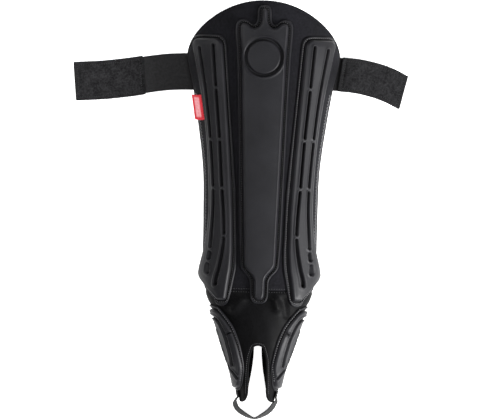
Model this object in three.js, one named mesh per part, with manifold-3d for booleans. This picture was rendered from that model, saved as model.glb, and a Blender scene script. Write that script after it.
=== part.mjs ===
// Shin and ankle guard for sport, lying on its back with the front up.
// Millimetres, +Z up, +Y towards the knee, +X to the right as the front is seen.
// "down" is the distance from the top of the dome towards the foot, and "round" is the angle
// round the leg from the middle of the front. "lift" is the height above the sleeve's outer face.
import * as THREE from 'three';
import { mergeVertices } from 'three/addons/utils/BufferGeometryUtils.js';
import Module from 'manifold-3d';

// Driving dimensions
const WALL = 3;
const GAP = 0.5;
const FLANGE = 2;
const FLANGE_WIDTH = 4;
const PAD_WALL_RUN = 1.6;
const CENTER_FACE = 7;
const SIDE_FACE = 6.5;
const ANKLE_FACE = 5.2;
const GROOVE_WIDTH = 3.2;
const GROOVE_DEPTH = 3;
const GROOVE_RAMP = 2.5;
const BREAK_LENGTH = 6;
const BREAK_DEPTH = 0.3;
const LIP_REACH = 0.22;
const RIM_REACH = 0.3;
const LONGEST_ROW = 50;
const WELD = 1e-4;
const HALVINGS = 40;
const SIDE_DIVIDE = { field: [], rim: [0.5] };
const ANKLE_DIVIDE = { field: [0.26, 0.5, 0.74], rim: [] };

const DOME = { half: 82.3, drop: 57, across: 2, along: 0.61, top: 0.8 };
const SEAM_DOWN = 311;
const TAIL_END = 430;
const STRAP_ZONE = { lift: 2.4, from: 99, to: 113 };

const ELASTIC = 1.4;
const TAPE = 1.6;
const TAB_HEIGHTS = [15, 8, 3.4];
const STRAP_TURN = 6;
const STRAP_STEPS = 8;
const ACROSS = [-0.5, 0, 0.5];
const STIRRUP = { width: 14, thick: 1.3, root: 86 };
const TAG = { from: 103, to: 129, reach: 10.5, thick: 0.8, droop: 24, standoff: 3.2 };
const BADGE = { down: 61, radius: 19.6, width: 2.7, depth: 1.7, sides: 32 };

// Outer face of the sleeve: half width, height of the front, and the angle where the back edge is.
const SECTIONS = [
  { down: 0, half: 82.5, crown: 56, wrap: 92 },
  { down: 57, half: 82.3, crown: 58, wrap: 93 },
  { down: 95, half: 75, crown: 59, wrap: 95 },
  { down: 128, half: 69.5, crown: 59.5, wrap: 97 },
  { down: 182, half: 62.6, crown: 59, wrap: 100 },
  { down: 235, half: 61.2, crown: 58, wrap: 105 },
  { down: 290, half: 60.6, crown: 57, wrap: 114 },
  { down: 311, half: 57.9, crown: 56, wrap: 126 },
  { down: 322, half: 54.2, crown: 55.4, wrap: 138.6 },
  { down: 330, half: 49.4, crown: 55, wrap: 148 },
  { down: 350, half: 41, crown: 53, wrap: 166 },
  { down: 370, half: 35, crown: 50, wrap: 173 },
  { down: 396, half: 25.8, crown: 44, wrap: 166 },
  { down: 418, half: 20.9, crown: 37, wrap: 150 },
  { down: 432, half: 18.2, crown: 31, wrap: 140 },
];

// Ankle sleeve from the seam to the rounded tips of the two tails: front edge of each tail and back edge,
// which goes no further round than the section does.
const TAILS = [
  { down: SEAM_DOWN + GAP, front: 0, rear: 126.3 },
  { down: 320, front: 0, rear: 136 },
  { down: 330, front: 0, rear: 148 },
  { down: 341, front: 0, rear: 159.5 },
  { down: 352, front: 0, rear: 167.4 },
  { down: 362, front: 0, rear: 171.6 },
  { down: 370, front: 0, rear: 173 },
  { down: 371, front: 5, rear: 173 },
  { down: 373.5, front: 9, rear: 172.8 },
  { down: 378, front: 13, rear: 172.3 },
  { down: 385, front: 17.3, rear: 170.6 },
  { down: 396, front: 22, rear: 166 },
  { down: 407, front: 25.6, rear: 158.6 },
  { down: 416, front: 28.5, rear: 151 },
  { down: 422, front: 32, rear: 139 },
  { down: 426.4, front: 39.5, rear: 126 },
  { down: 429.2, front: 55, rear: 110 },
  { down: TAIL_END, front: 78, rear: 100 },
];

// Center pad: half widths of the sewn flange and of the raised face.
const CENTER_PAD = [
  { down: 36, flange: 30.8, face: 24.8 },
  { down: 61, flange: 29.2, face: 23.2 },
  { down: 107, flange: 27, face: 21.7 },
  { down: 183, flange: 24.6, face: 19.3 },
  { down: 257, flange: 22.5, face: 16.9 },
  { down: 283, flange: 20.6, face: 15.8 },
  { down: 291, flange: 16.8, face: 12.4 },
  { down: 297, flange: 12.2, face: 7.8 },
  { down: 303, flange: 10.1, face: 5.3 },
  { down: 318, flange: 9.8, face: 4.7 },
  { down: 323, flange: 8.4, face: 3.8 },
  { down: 326, flange: 4.5, face: 2 },
];
const CENTER_ROWS = [76, 107, 145, 183, 220, 257, 276, 283, 289, 294, 299, 305, 318];
const CENTER_END = { face: 321, base: 323, edge: 326 };

// Top of the center pad, column by column from the middle out: half width at the scalloped edge, where the
// edge lies, the part it is in, the share of the raised face it takes below, and its first raised row.
const CENTER_COLUMNS = [
  { top: 0, edge: 6, part: 'finger', share: 0, raised: 2 },
  { top: 2.6, edge: 6, part: 'finger', share: 0.2, raised: 2 },
  { top: 4.6, edge: 6.3, part: 'finger', share: 0.34, raised: 5 },
  { top: 7.5, edge: 8, part: 'finger', share: 0.48, raised: 5 },
  { top: 8.2, edge: 29, part: 'shoulder', share: 0.58, raised: 5 },
  { top: 11, edge: 29.5, part: 'shoulder', share: 0.68, raised: 5 },
  { top: 16, edge: 24, part: 'shoulder', share: 0.8, raised: 2 },
  { top: 24.4, edge: 23, part: 'shoulder', share: 1, raised: 2 },
];
const CENTER_RIM = [
  { top: 26.4, edge: 24.5 },
  { top: 30.8, edge: 29 },
];

// Rows of the scalloped top as shares of the way from its edge to the first plain row, and the share after
// which the columns spread to the width of the face.
const SCALLOP = {
  end: 36,
  finger: { rows: [0, 0.1, 0.18, 0.45, 0.93, 1], spread: 0.95 },
  shoulder: { rows: [0, 0.2, 0.42, 0.62, 0.82, 1], spread: 2 / 3 },
};

// Side pad lines as the front is seen, in distance from the middle: flange edge, inner edge of the raised
// face, inner and outer groove, outer edge of the raised face.
const SIDE_PAD = [
  { down: 38, flange: 47, face: 51, inner: 57, outer: 67, edge: 73.4 },
  { down: 44, flange: 41.6, face: 47.4, inner: 55.3, outer: 69, edge: 77.6 },
  { down: 51, flange: 40.3, face: 46, inner: 54.3, outer: 69, edge: 77.2 },
  { down: 75, flange: 38.4, face: 44, inner: 52.2, outer: 64.8, edge: 72.4 },
  { down: 107, flange: 36, face: 41.4, inner: 49.3, outer: 59.8, edge: 66.3 },
  { down: 150, flange: 32, face: 38, inner: 45.3, outer: 55, edge: 60.5 },
  { down: 202, flange: 27.4, face: 34.4, inner: 41.8, outer: 51, edge: 57.2 },
  { down: 228, flange: 26.3, face: 32.7, inner: 39.8, outer: 50.8, edge: 56.8 },
  { down: 253, flange: 25.6, face: 32, inner: 38.9, outer: 52.1, edge: 59 },
  { down: 270, flange: 25, face: 31.8, inner: 40.3, outer: 53.4, edge: 62.2 },
  { down: 288, flange: 25.6, face: 33, inner: 43.6, outer: 55.9, edge: 66.2 },
  { down: 297, flange: 27.2, face: 34.8, inner: 46, outer: 55, edge: 66 },
  { down: 306, flange: 29, face: 36.4, inner: 47, outer: 52.3, edge: 60 },
  { down: 314, flange: 30.7, face: 37.7, inner: 43.8, outer: 47.6, edge: 52.6 },
  { down: 320, flange: 32.2, face: 39, inner: 42, outer: 44.4, edge: 47 },
  { down: 328, flange: 36, face: 39.6, inner: 41.6, outer: 43.4, edge: 45.6 },
];
const SIDE_ENDS = { edge: 38, base: 41, face: 43.5, lowFace: 319.5, lowBase: 322.5, lowEdge: 328 };
const SIDE_CORNER_ROWS = [298, 301.2, 311.5, 315.5];
const INNER_GROOVE = { from: 48.5, to: 307, breaks: [95, 150, 202, 253] };
const OUTER_GROOVE = { from: 51, to: 268, breaks: [150, 202] };
const PITS = [
  { from: 268, to: 280.5, width: 5.4 },
  { from: 280.5, to: 294.5, width: 6.6 },
];

// Ankle pad lines as angles round the ankle: flange edge in front, front and back leg of the arched groove,
// flange edge at the back. "field" is 1 where the groove runs across from leg to leg.
const ANKLE_PAD = [
  { down: 328.6, front: 64, inner: 82, outer: 96, rear: 113, face: 0, groove: 0, field: 0 },
  { down: 331, front: 57, inner: 79, outer: 98, rear: 118, face: 0, groove: 0, field: 0 },
  { down: 333.5, front: 54, inner: 77, outer: 100, rear: 121, face: 1, groove: 0, field: 0 },
  { down: 338.5, front: 49.5, inner: 73, outer: 104, rear: 126, face: 1, groove: 0, field: 0 },
  { down: 340.5, front: 47.8, inner: 70, outer: 106, rear: 128, face: 1, groove: 1, field: 1 },
  { down: 343, front: 45.4, inner: 66, outer: 109, rear: 130, face: 1, groove: 1, field: 0 },
  { down: 350, front: 40.2, inner: 61.5, outer: 112, rear: 133, face: 1, groove: 1, field: 0 },
  { down: 360, front: 35.4, inner: 56.5, outer: 114, rear: 135, face: 1, groove: 1, field: 0 },
  { down: 370, front: 32, inner: 54.5, outer: 114, rear: 134.5, face: 1, groove: 1, field: 0 },
  { down: 383, front: 30.8, inner: 55, outer: 112, rear: 132, face: 1, groove: 1, field: 0 },
  { down: 394, front: 32, inner: 60, outer: 107, rear: 128, face: 1, groove: 1, field: 0 },
  { down: 402, front: 37, inner: 66, outer: 102, rear: 124.5, face: 1, groove: 0, field: 0 },
  { down: 411, front: 44, inner: 71, outer: 97, rear: 118, face: 1, groove: 0, field: 0 },
  { down: 414.6, front: 50, inner: 75, outer: 93, rear: 112, face: 0, groove: 0, field: 0 },
  { down: 418.4, front: 62, inner: 79, outer: 88, rear: 103, face: 0, groove: 0, field: 0 },
];

// Straps where they lie: distance out from the middle of the guard, how far down the middle of the band is,
// width of the elastic, and how far the line across the band leans outwards towards the knee.
const STRAPS = {
  left: {
    side: -1,
    tape: { from: 128.5, to: 201.5, width: 40.2 },
    band: [
      { out: 80, middle: 77.4, width: 38, lean: 0 },
      { out: 102, middle: 78.6, width: 38, lean: 2 },
      { out: 121, middle: 81.2, width: 38, lean: 5 },
      { out: 141, middle: 84.7, width: 38, lean: 6.5 },
      { out: 169, middle: 88.4, width: 38, lean: 5.5 },
      { out: 200.5, middle: 90.6, width: 38, lean: 5 },
    ],
  },
  right: {
    side: 1,
    tape: { from: 83, to: 150.5, width: 35.6 },
    band: [
      { out: 80, middle: 77.4, width: 34.6, lean: 8 },
      { out: 102, middle: 79.4, width: 34, lean: 11 },
      { out: 122, middle: 83.8, width: 34, lean: 14 },
      { out: 136.5, middle: 88.9, width: 34, lean: 15 },
      { out: 149.5, middle: 95.4, width: 34, lean: 14 },
    ],
  },
};

// Stirrup from where it leaves a tail to the middle of its loop: its place, how far its upper edge leans in,
// and how far the loop lies to the right of the guard's middle.
const STIRRUP_PATH = [
  { down: 429, out: 22, up: 14.2, lean: 4, shift: -1 },
  { down: 432.5, out: 20.9, up: 11.5, lean: 15, shift: -2.3 },
  { down: 437, out: 18.7, up: 9, lean: 18, shift: -2.7 },
  { down: 441.2, out: 14.4, up: 7.9, lean: 18, shift: -2.6 },
  { down: 444.8, out: 8.8, up: 7.4, lean: 15, shift: -2.6 },
  { down: 447.4, out: 3.4, up: 7.2, lean: 9, shift: -2.3 },
  { down: 448.2, out: 0, up: 7.1, lean: 5, shift: -2.2 },
];
const STIRRUP_ROOTS = [419.5, 421.5, 423.5, 425.5];

const FINISHES = {
  sleeve: { color: 0x1c1c20, roughness: 0.85 },
  pad: { color: 0x35353a, roughness: 0.6 },
  elastic: { color: 0x29292c, roughness: 0.9 },
  tape: { color: 0x2b2b2e, roughness: 0.95 },
  stirrup: { color: 0x565657, roughness: 0.8 },
  tag: { color: 0xc22a35, roughness: 0.7 },
};

const wasm = await Module();
wasm.setup();
const radians = THREE.MathUtils.degToRad;

// A smooth curve through one column of a table, read at any value of another.
function smooth(table, column, along = 'down') {
  const at = table.map((row) => row[along]);
  const value = table.map((row) => row[column]);
  const last = at.length - 1;
  const slope = (i) => {
    const low = Math.max(i - 1, 0);
    const high = Math.min(i + 1, last);
    return (value[high] - value[low]) / (at[high] - at[low]);
  };
  return (place) => {
    const x = THREE.MathUtils.clamp(place, at[0], at[last]);
    let i = 0;
    while (i < last - 1 && x > at[i + 1]) i += 1;
    const step = at[i + 1] - at[i];
    const t = (x - at[i]) / step;
    const ease = t * t * (3 - 2 * t);
    const leave = t * (1 - t) * (1 - t) * step * slope(i);
    const arrive = t * t * (t - 1) * step * slope(i + 1);
    return value[i] + ease * (value[i + 1] - value[i]) + leave + arrive;
  };
}

const halfAt = smooth(SECTIONS, 'half');
const crownAt = smooth(SECTIONS, 'crown');
const wrapAt = smooth(SECTIONS, 'wrap');

// The section of the sleeve is part of an ellipse whose two back edges stand on the surface.
function section(down) {
  const wrap = radians(wrapAt(down));
  const deep = crownAt(down) / (1 - Math.cos(wrap));
  return { half: halfAt(down), deep, base: deep * Math.cos(wrap), wrap };
}

function wallPoint(round, down, lift) {
  const { half, deep, base } = section(down);
  const out = new THREE.Vector2(deep * Math.sin(round), half * Math.cos(round)).normalize();
  const x = half * Math.sin(round) + lift * out.x;
  const z = deep * Math.cos(round) - base + lift * out.y;
  return new THREE.Vector3(x, -down, z);
}

// The angle at which a point at this lift is seen at a given distance from the middle.
function roundSeen(x, down, lift) {
  let low = 0;
  let high = Math.PI / 2;
  for (let i = 0; i < HALVINGS; i += 1) {
    const middle = (low + high) / 2;
    if (wallPoint(middle, down, lift).x < x) low = middle;
    else high = middle;
  }
  return low;
}

// The angle reached by going a distance further round the sleeve.
function stepRound(round, down, distance) {
  const { half, deep } = section(down);
  return round + distance / Math.hypot(half * Math.cos(round), deep * Math.sin(round));
}

// A node is a pair of points, one on each face of a wall.
function wallNode(round, down, top, bottom) {
  return { outer: wallPoint(round, down, top), inner: wallPoint(round, down, bottom) };
}

// A closed body from grids of nodes. Grids may share nodes, and every free edge is closed by a strip.
function shell(grids) {
  const places = [];
  const triangles = [];
  const edges = new Map();
  const numbers = new Map();
  const number = (node) => {
    if (!numbers.has(node)) {
      numbers.set(node, places.length);
      places.push(node.outer, node.inner);
    }
    return numbers.get(node);
  };
  const addEdge = (a, b) => {
    if (edges.has(`${b} ${a}`)) edges.delete(`${b} ${a}`);
    else edges.set(`${a} ${b}`, [a, b]);
  };
  for (const grid of grids) {
    for (let r = 0; r + 1 < grid.length; r += 1) {
      for (let c = 0; c + 1 < grid[r].length; c += 1) {
        const corners = [grid[r][c], grid[r + 1][c], grid[r + 1][c + 1], grid[r][c + 1]];
        const loop = corners.map(number).filter((n, i, all) => all.indexOf(n) === i);
        for (let i = 1; i + 1 < loop.length; i += 1) {
          triangles.push(loop[0], loop[i], loop[i + 1]);
          triangles.push(loop[0] + 1, loop[i + 1] + 1, loop[i] + 1);
        }
        loop.forEach((n, i) => addEdge(n, loop[(i + 1) % loop.length]));
      }
    }
  }
  for (const [a, b] of edges.values()) {
    triangles.push(b, a, a + 1, b, a + 1, b + 1);
  }
  const geometry = new THREE.BufferGeometry().setFromPoints(places);
  geometry.setIndex(triangles);
  return geometry;
}

// Grid rows run from left to right, so a piece on the left is turned over and read backwards.
function onSide(side, rows) {
  return side > 0 ? rows : rows.map((row) => [...row].reverse());
}

// Rows for a pad: all the places where its section changes, with none too far apart.
function rowsThrough(places) {
  const sorted = [...new Set(places)].sort((a, b) => a - b);
  const rows = [sorted[0]];
  for (const place of sorted.slice(1)) {
    const from = rows[rows.length - 1];
    const steps = Math.ceil((place - from) / LONGEST_ROW);
    for (let i = 1; i <= steps; i += 1) rows.push(from + ((place - from) * i) / steps);
  }
  return rows;
}

function toSolid(geometry) {
  const merged = mergeVertices(new THREE.BufferGeometry()
    .setAttribute('position', geometry.getAttribute('position'))
    .setIndex(geometry.getIndex()), WELD);
  const vertProperties = new Float32Array(merged.getAttribute('position').array);
  const triVerts = new Uint32Array(merged.getIndex().array);
  return new wasm.Manifold(new wasm.Mesh({ numProp: 3, vertProperties, triVerts }));
}

function cut(geometry, tool) {
  const mesh = toSolid(geometry).subtract(toSolid(tool)).getMesh();
  const result = new THREE.BufferGeometry();
  result.setAttribute('position', new THREE.BufferAttribute(new Float32Array(mesh.vertProperties), 3));
  result.setIndex(new THREE.BufferAttribute(new Uint32Array(mesh.triVerts), 1));
  return result;
}

// Dome of the sleeve: how far down its top edge lies at a distance from the middle.
function domeEdge(x) {
  const share = Math.min(Math.abs(x) / DOME.half, 1);
  return DOME.top + DOME.drop * (1 - (1 - share ** DOME.across) ** DOME.along);
}

// The back edge stands on the surface, and on the straps where they pass under it.
function backEdge(down) {
  const { deep, wrap } = section(down);
  const lift = STRAP_ZONE.lift * (1 - THREE.MathUtils.smoothstep(down, STRAP_ZONE.from, STRAP_ZONE.to));
  return wrap - lift / (deep * Math.sin(wrap));
}

// Rows lie closer together at both ends, where the shape changes fastest.
function rowShare(share) {
  return (share + (1 - Math.cos(Math.PI * share)) / 2) / 2;
}

function shinSleeve() {
  const columns = 22;
  const rows = 18;
  const grid = [];
  for (let r = 0; r <= rows; r += 1) {
    const row = [];
    for (let c = 0; c <= columns; c += 1) {
      const share = (2 * c) / columns - 1;
      const top = domeEdge(halfAt(0) * Math.sin(share * backEdge(DOME.drop)));
      const down = top + (SEAM_DOWN - top) * rowShare(r / rows);
      row.push(wallNode(share * backEdge(down), down, 0, -WALL));
    }
    grid.push(row);
  }
  return shell([grid]);
}

function ankleSleeve() {
  const columns = 11;
  const middle = TAILS.map(({ down }) => wallNode(0, down, 0, -WALL));
  const half = (side) => TAILS.map(({ down, front, rear }, r) => {
    const row = [];
    for (let c = 0; c <= columns; c += 1) {
      const last = Math.min(rear, wrapAt(down));
      const round = radians(front + ((last - front) * c) / columns);
      row.push(c === 0 && front === 0 ? middle[r] : wallNode(side * round, down, 0, -WALL));
    }
    return row;
  });
  return shell([half(1), onSide(-1, half(-1))]);
}

// Center pad

function centerPad() {
  const flangeAt = smooth(CENTER_PAD, 'flange');
  const faceAt = smooth(CENTER_PAD, 'face');
  const mirrored = (half) => [...half(-1).reverse(), ...half(1).slice(1)];
  const grid = [];
  const seenNode = (side, x, down, lift) => wallNode(side * roundSeen(x, down, lift), down, lift, GAP);
  for (let r = 0; r < SCALLOP.finger.rows.length; r += 1) {
    const half = (side) => {
      const row = CENTER_COLUMNS.map(({ top, edge, part, share, raised }) => {
        const { rows, spread } = SCALLOP[part];
        const down = edge + (SCALLOP.end - edge) * rows[r];
        const wide = Math.max(0, (rows[r] - spread) / (1 - spread));
        const x = top + (faceAt(SCALLOP.end) * share - top) * wide;
        return seenNode(side, x, down, r >= raised ? CENTER_FACE : FLANGE);
      });
      for (const { top, edge } of CENTER_RIM) {
        const down = edge + (SCALLOP.end - edge) * SCALLOP.shoulder.rows[r];
        row.push(seenNode(side, top, down, FLANGE));
      }
      return row;
    };
    grid.push(mirrored(half));
  }
  const ends = [CENTER_END.face, CENTER_END.base, CENTER_END.edge];
  for (const down of [...CENTER_ROWS, ...ends]) {
    const lift = down <= CENTER_END.face ? CENTER_FACE : FLANGE;
    const half = (side) => {
      const row = CENTER_COLUMNS.map(({ share }) => seenNode(side, faceAt(down) * share, down, lift));
      const base = stepRound(roundSeen(faceAt(down), down, lift), down, PAD_WALL_RUN);
      row.push(wallNode(side * base, down, FLANGE, GAP));
      row.push(seenNode(side, flangeAt(down), down, FLANGE));
      return row;
    };
    grid.push(mirrored(half));
  }
  return cut(shell([grid]), badgeRing());
}

// A ring that follows the curve of the raised face, to be cut out of it.
function badgeRing() {
  const inner = BADGE.radius - BADGE.width / 2;
  const outer = BADGE.radius + BADGE.width / 2;
  const clear = 2;
  const profile = [
    new THREE.Vector2(inner, -BADGE.depth),
    new THREE.Vector2(outer, -BADGE.depth),
    new THREE.Vector2(outer, clear),
    new THREE.Vector2(inner, clear),
    new THREE.Vector2(inner, -BADGE.depth),
  ];
  const ring = new THREE.LatheGeometry(profile, BADGE.sides);
  const places = ring.getAttribute('position');
  for (let i = 0; i < places.count; i += 1) {
    const down = BADGE.down + places.getZ(i);
    const x = places.getX(i);
    const lift = CENTER_FACE + places.getY(i);
    const point = wallPoint(Math.sign(x) * roundSeen(Math.abs(x), down, lift), down, lift);
    places.setXYZ(i, point.x, point.y, point.z);
  }
  return ring;
}

// Side pads and ankle pads

// One row of a pad with two grooves, from its flange edge in front to its flange edge at the back.
// lines holds the angles of the flange edge, face edges and grooves; deep holds the depth of each groove
// and of the field between them; width is that of the outer groove.
// divide holds shares for more columns in the field and in the rim behind the outer groove.
// Where the lines draw together at an end, each lip keeps to its share of the way to the next line.
function groovedRow(side, down, face, lines, deep, width, divide) {
  const top = (depth) => Math.max(face - depth, FLANGE);
  const spread = (round, distance) => stepRound(round, down, distance);
  const half = GROOVE_WIDTH / 2;
  const lip = (line, next, distance) => {
    const away = Math.min(spread(line, distance) - line, Math.abs(next - line) * LIP_REACH);
    return line + Math.sign(next - line) * away;
  };
  const outerLip = lip(lines.outer, lines.edge, width / 2);
  const rearBase = spread(lines.edge, PAD_WALL_RUN);
  const columns = [
    [lines.flange, FLANGE],
    [spread(lines.face, -PAD_WALL_RUN), FLANGE],
    [lines.face, face],
    [lip(lines.inner, lines.face, half), face],
    [lines.inner, top(deep.inner)],
    [lip(lines.inner, lines.outer, half), top(deep.field)],
    ...divide.field.map((share) => [lines.inner + (lines.outer - lines.inner) * share, top(deep.field)]),
    [lip(lines.outer, lines.inner, width / 2), top(deep.field)],
    [lines.outer, top(deep.outer)],
    [outerLip, face],
    ...divide.rim.map((share) => [outerLip + (lines.edge - outerLip) * share, face]),
    [lines.edge, face],
    [rearBase, FLANGE],
    [lines.rear ?? spread(rearBase, FLANGE_WIDTH), FLANGE],
  ];
  return columns.map(([round, lift]) => wallNode(side * round, down, lift, GAP));
}

// Depth of a groove along its length: sloping ends, and a low bridge at each break.
function grooveDepth({ from, to, breaks = [] }, down) {
  const fromEnd = Math.min(down - from, to - down) / GROOVE_RAMP;
  const full = THREE.MathUtils.clamp(fromEnd, 0, 1);
  const bridges = breaks.map((at) => {
    const away = Math.abs(down - at) / (BREAK_LENGTH / 2);
    return BREAK_DEPTH + (1 - BREAK_DEPTH) * away;
  });
  return GROOVE_DEPTH * Math.min(full, ...bridges);
}

function groovePlaces({ from, to, breaks = [] }) {
  const bridges = breaks.flatMap((at) => [at - BREAK_LENGTH / 2, at, at + BREAK_LENGTH / 2]);
  return [from, from + GROOVE_RAMP, ...bridges, to - GROOVE_RAMP, to];
}

function sidePad(side) {
  const line = Object.fromEntries(['flange', 'face', 'inner', 'outer', 'edge']
    .map((name) => [name, smooth(SIDE_PAD, name)]));
  const grooves = [INNER_GROOVE, OUTER_GROOVE, ...PITS];
  const places = [...Object.values(SIDE_ENDS), ...SIDE_CORNER_ROWS, ...grooves.flatMap(groovePlaces)];
  const rows = rowsThrough(places);
  const grid = rows.map((down) => {
    const raised = down >= SIDE_ENDS.face && down <= SIDE_ENDS.lowFace;
    const face = raised ? SIDE_FACE : FLANGE;
    const seen = (name, lift) => roundSeen(line[name](down), down, lift);
    const lines = {
      flange: seen('flange', FLANGE),
      face: seen('face', face),
      inner: seen('inner', face),
      outer: seen('outer', face),
      edge: seen('edge', face),
    };
    const pit = PITS.find(({ from, to }) => down >= from && down <= to);
    const outer = Math.max(...[OUTER_GROOVE, ...PITS].map((groove) => grooveDepth(groove, down)));
    const deep = { inner: grooveDepth(INNER_GROOVE, down), outer, field: 0 };
    return groovedRow(side, down, face, lines, deep, pit ? pit.width : GROOVE_WIDTH, SIDE_DIVIDE);
  });
  return shell([onSide(side, grid)]);
}

function anklePad(side) {
  const grid = ANKLE_PAD.map((row) => {
    const { down } = row;
    const face = row.face ? ANKLE_FACE : FLANGE;
    const front = radians(row.front);
    const rear = radians(row.rear);
    const rim = (round) => {
      const whole = stepRound(round, down, FLANGE_WIDTH + PAD_WALL_RUN) - round;
      return Math.min(whole, (rear - front) * RIM_REACH);
    };
    const lines = {
      flange: front,
      face: front + rim(front),
      inner: radians(row.inner),
      outer: radians(row.outer),
      edge: rear - rim(rear),
      rear,
    };
    const depth = row.groove * GROOVE_DEPTH;
    const deep = { inner: depth, outer: depth, field: row.field * depth };
    return groovedRow(side, down, face, lines, deep, GROOVE_WIDTH, ANKLE_DIVIDE);
  });
  return shell([onSide(side, grid)]);
}

// Straps

// A point on the surface beside the band's middle line, at a distance out and a share of the width.
function strapPlace(strap, out, across, width) {
  const middle = smooth(strap.band, 'middle', 'out')(out);
  const lean = radians(smooth(strap.band, 'lean', 'out')(out));
  const x = out - across * width * Math.sin(lean);
  const down = middle + across * width * Math.cos(lean);
  return new THREE.Vector3(strap.side * x, -down, 0);
}

function raise(place, low, high) {
  return { outer: place.clone().setZ(high), inner: place.clone().setZ(low) };
}

// The elastic comes down the inside of the sleeve, turns out under its edge and lies flat.
function strapElastic(strap) {
  const widthAt = smooth(strap.band, 'width', 'out');
  const start = strap.band[0].out;
  const end = strap.band[strap.band.length - 1].out;
  const flat = start + STRAP_TURN;
  const inside = -WALL - GAP;
  const tabNode = (down, height) => {
    const { deep, base } = section(down);
    const round = Math.acos((height + base) / deep);
    return wallNode(strap.side * round, down, inside, inside - ELASTIC);
  };
  const grid = ACROSS.map((across) => {
    const down = strap.band[0].middle + across * widthAt(start);
    const row = TAB_HEIGHTS.map((height) => tabNode(down, height));
    const foot = wallPoint(strap.side * backEdge(down), down, inside);
    const turn = { outer: foot.clone().setZ(ELASTIC), inner: foot.clone().setZ(0) };
    turn.inner.x -= strap.side * ELASTIC;
    row.push(turn);
    for (let i = 0; i <= STRAP_STEPS; i += 1) {
      const out = flat + ((end - flat) * i) / STRAP_STEPS;
      row.push(raise(strapPlace(strap, out, across, widthAt(out)), 0, ELASTIC));
    }
    return row;
  });
  return shell([onSide(strap.side, grid)]);
}

function strapTape(strap) {
  const { from, to, width } = strap.tape;
  const low = ELASTIC + GAP;
  const grid = ACROSS.map((across) => {
    const row = [];
    for (let i = 0; i <= STRAP_STEPS; i += 1) {
      const out = from + ((to - from) * i) / STRAP_STEPS;
      row.push(raise(strapPlace(strap, out, across, width), low, low + TAPE));
    }
    return row;
  });
  return shell([onSide(strap.side, grid)]);
}

// Stirrup

// The band lies against each tail, leaves it, and stands on its lower edge round the loop.
function stirrup() {
  const root = radians(STIRRUP.root);
  const half = (side) => {
    const roots = STIRRUP_ROOTS.map((down) => {
      const { half: wide, deep } = section(down);
      const middle = wallPoint(side * root, down, GAP + STIRRUP.thick / 2);
      const up = new THREE.Vector3(-side * wide * Math.cos(root), 0, deep * Math.sin(root)).normalize();
      return { middle, up };
    });
    const loop = STIRRUP_PATH.map(({ down, out, up, lean, shift }, i) => {
      const before = STIRRUP_PATH[Math.max(i - 1, 0)];
      const after = STIRRUP_PATH[Math.min(i + 1, STIRRUP_PATH.length - 1)];
      const inward = new THREE.Vector3(side * (before.down - after.down), before.out - after.out, 0);
      const upright = new THREE.Vector3(0, 0, 1);
      const hinge = upright.clone().cross(inward.normalize());
      const middle = new THREE.Vector3(side * out + shift, -down, up);
      return { middle, up: upright.applyAxisAngle(hinge, radians(lean)) };
    });
    return [...roots, ...loop];
  };
  const stations = [...half(1), ...half(-1).reverse().slice(1)];
  const along = (i) => {
    const ahead = stations[Math.min(i + 1, stations.length - 1)].middle;
    return ahead.clone().sub(stations[Math.max(i - 1, 0)].middle).normalize();
  };
  const grid = stations.map(({ middle, up }, i) => {
    const face = along(i).cross(up).normalize().multiplyScalar(STIRRUP.thick / 2);
    return ACROSS.map((share) => {
      const place = middle.clone().addScaledVector(up, share * STIRRUP.width);
      return { outer: place.clone().add(face), inner: place.clone().sub(face) };
    });
  });
  return shell([grid]);
}

// The tag is sewn to the outer flange of the left side pad and stands out over the sleeve.
function sideTag() {
  const edgeAt = smooth(SIDE_PAD, 'edge');
  const grid = [];
  const steps = 3;
  const slope = radians(TAG.droop);
  const outward = new THREE.Vector3(-Math.cos(slope), 0, -Math.sin(slope));
  const lift = new THREE.Vector3(-Math.sin(slope), 0, Math.cos(slope)).multiplyScalar(TAG.thick / 2);
  for (let r = 0; r <= steps; r += 1) {
    const down = TAG.from + ((TAG.to - TAG.from) * r) / steps;
    const edge = roundSeen(edgeAt(down), down, SIDE_FACE);
    const root = wallPoint(-stepRound(edge, down, TAG.standoff), down, FLANGE + GAP + TAG.thick / 2);
    const row = [];
    for (let c = steps; c >= 0; c -= 1) {
      const place = root.clone().addScaledVector(outward, (TAG.reach * c) / steps);
      row.push({ outer: place.clone().add(lift), inner: place.clone().sub(lift) });
    }
    grid.push(row);
  }
  return shell([grid]);
}

const guard = new THREE.Group();

function addPiece(name, geometry, finish) {
  geometry.computeVertexNormals();
  const material = new THREE.MeshStandardMaterial(finish);
  const mesh = new THREE.Mesh(geometry, material);
  mesh.name = name;
  guard.add(mesh);
}

addPiece('shin_sleeve', shinSleeve(), FINISHES.sleeve);
addPiece('ankle_sleeve', ankleSleeve(), FINISHES.sleeve);
addPiece('center_pad', centerPad(), FINISHES.pad);
for (const [name, side] of [['left', -1], ['right', 1]]) {
  addPiece(`side_pad_${name}`, sidePad(side), FINISHES.pad);
  addPiece(`ankle_pad_${name}`, anklePad(side), FINISHES.pad);
  addPiece(`strap_${name}_elastic`, strapElastic(STRAPS[name]), FINISHES.elastic);
  addPiece(`strap_${name}_tape`, strapTape(STRAPS[name]), FINISHES.tape);
}
addPiece('stirrup', stirrup(), FINISHES.stirrup);
addPiece('side_tag', sideTag(), FINISHES.tag);

// The origin is the middle of the surface under the whole piece.
const box = new THREE.Box3().setFromObject(guard);
const center = box.getCenter(new THREE.Vector3());
guard.position.set(-center.x, -center.y, -box.min.z);

export default guard;
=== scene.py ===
# Shin and ankle guard lying on its back, front up, on a pale floor.
# Sizes are in millimetres in the guard's own frame: x to the right as the front is seen, "down" from the
# top of the dome towards the foot, z up. "round" is the angle round the leg from the middle of the front,
# and "lift" is the height above the outer face of the sleeve.
import math

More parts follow.
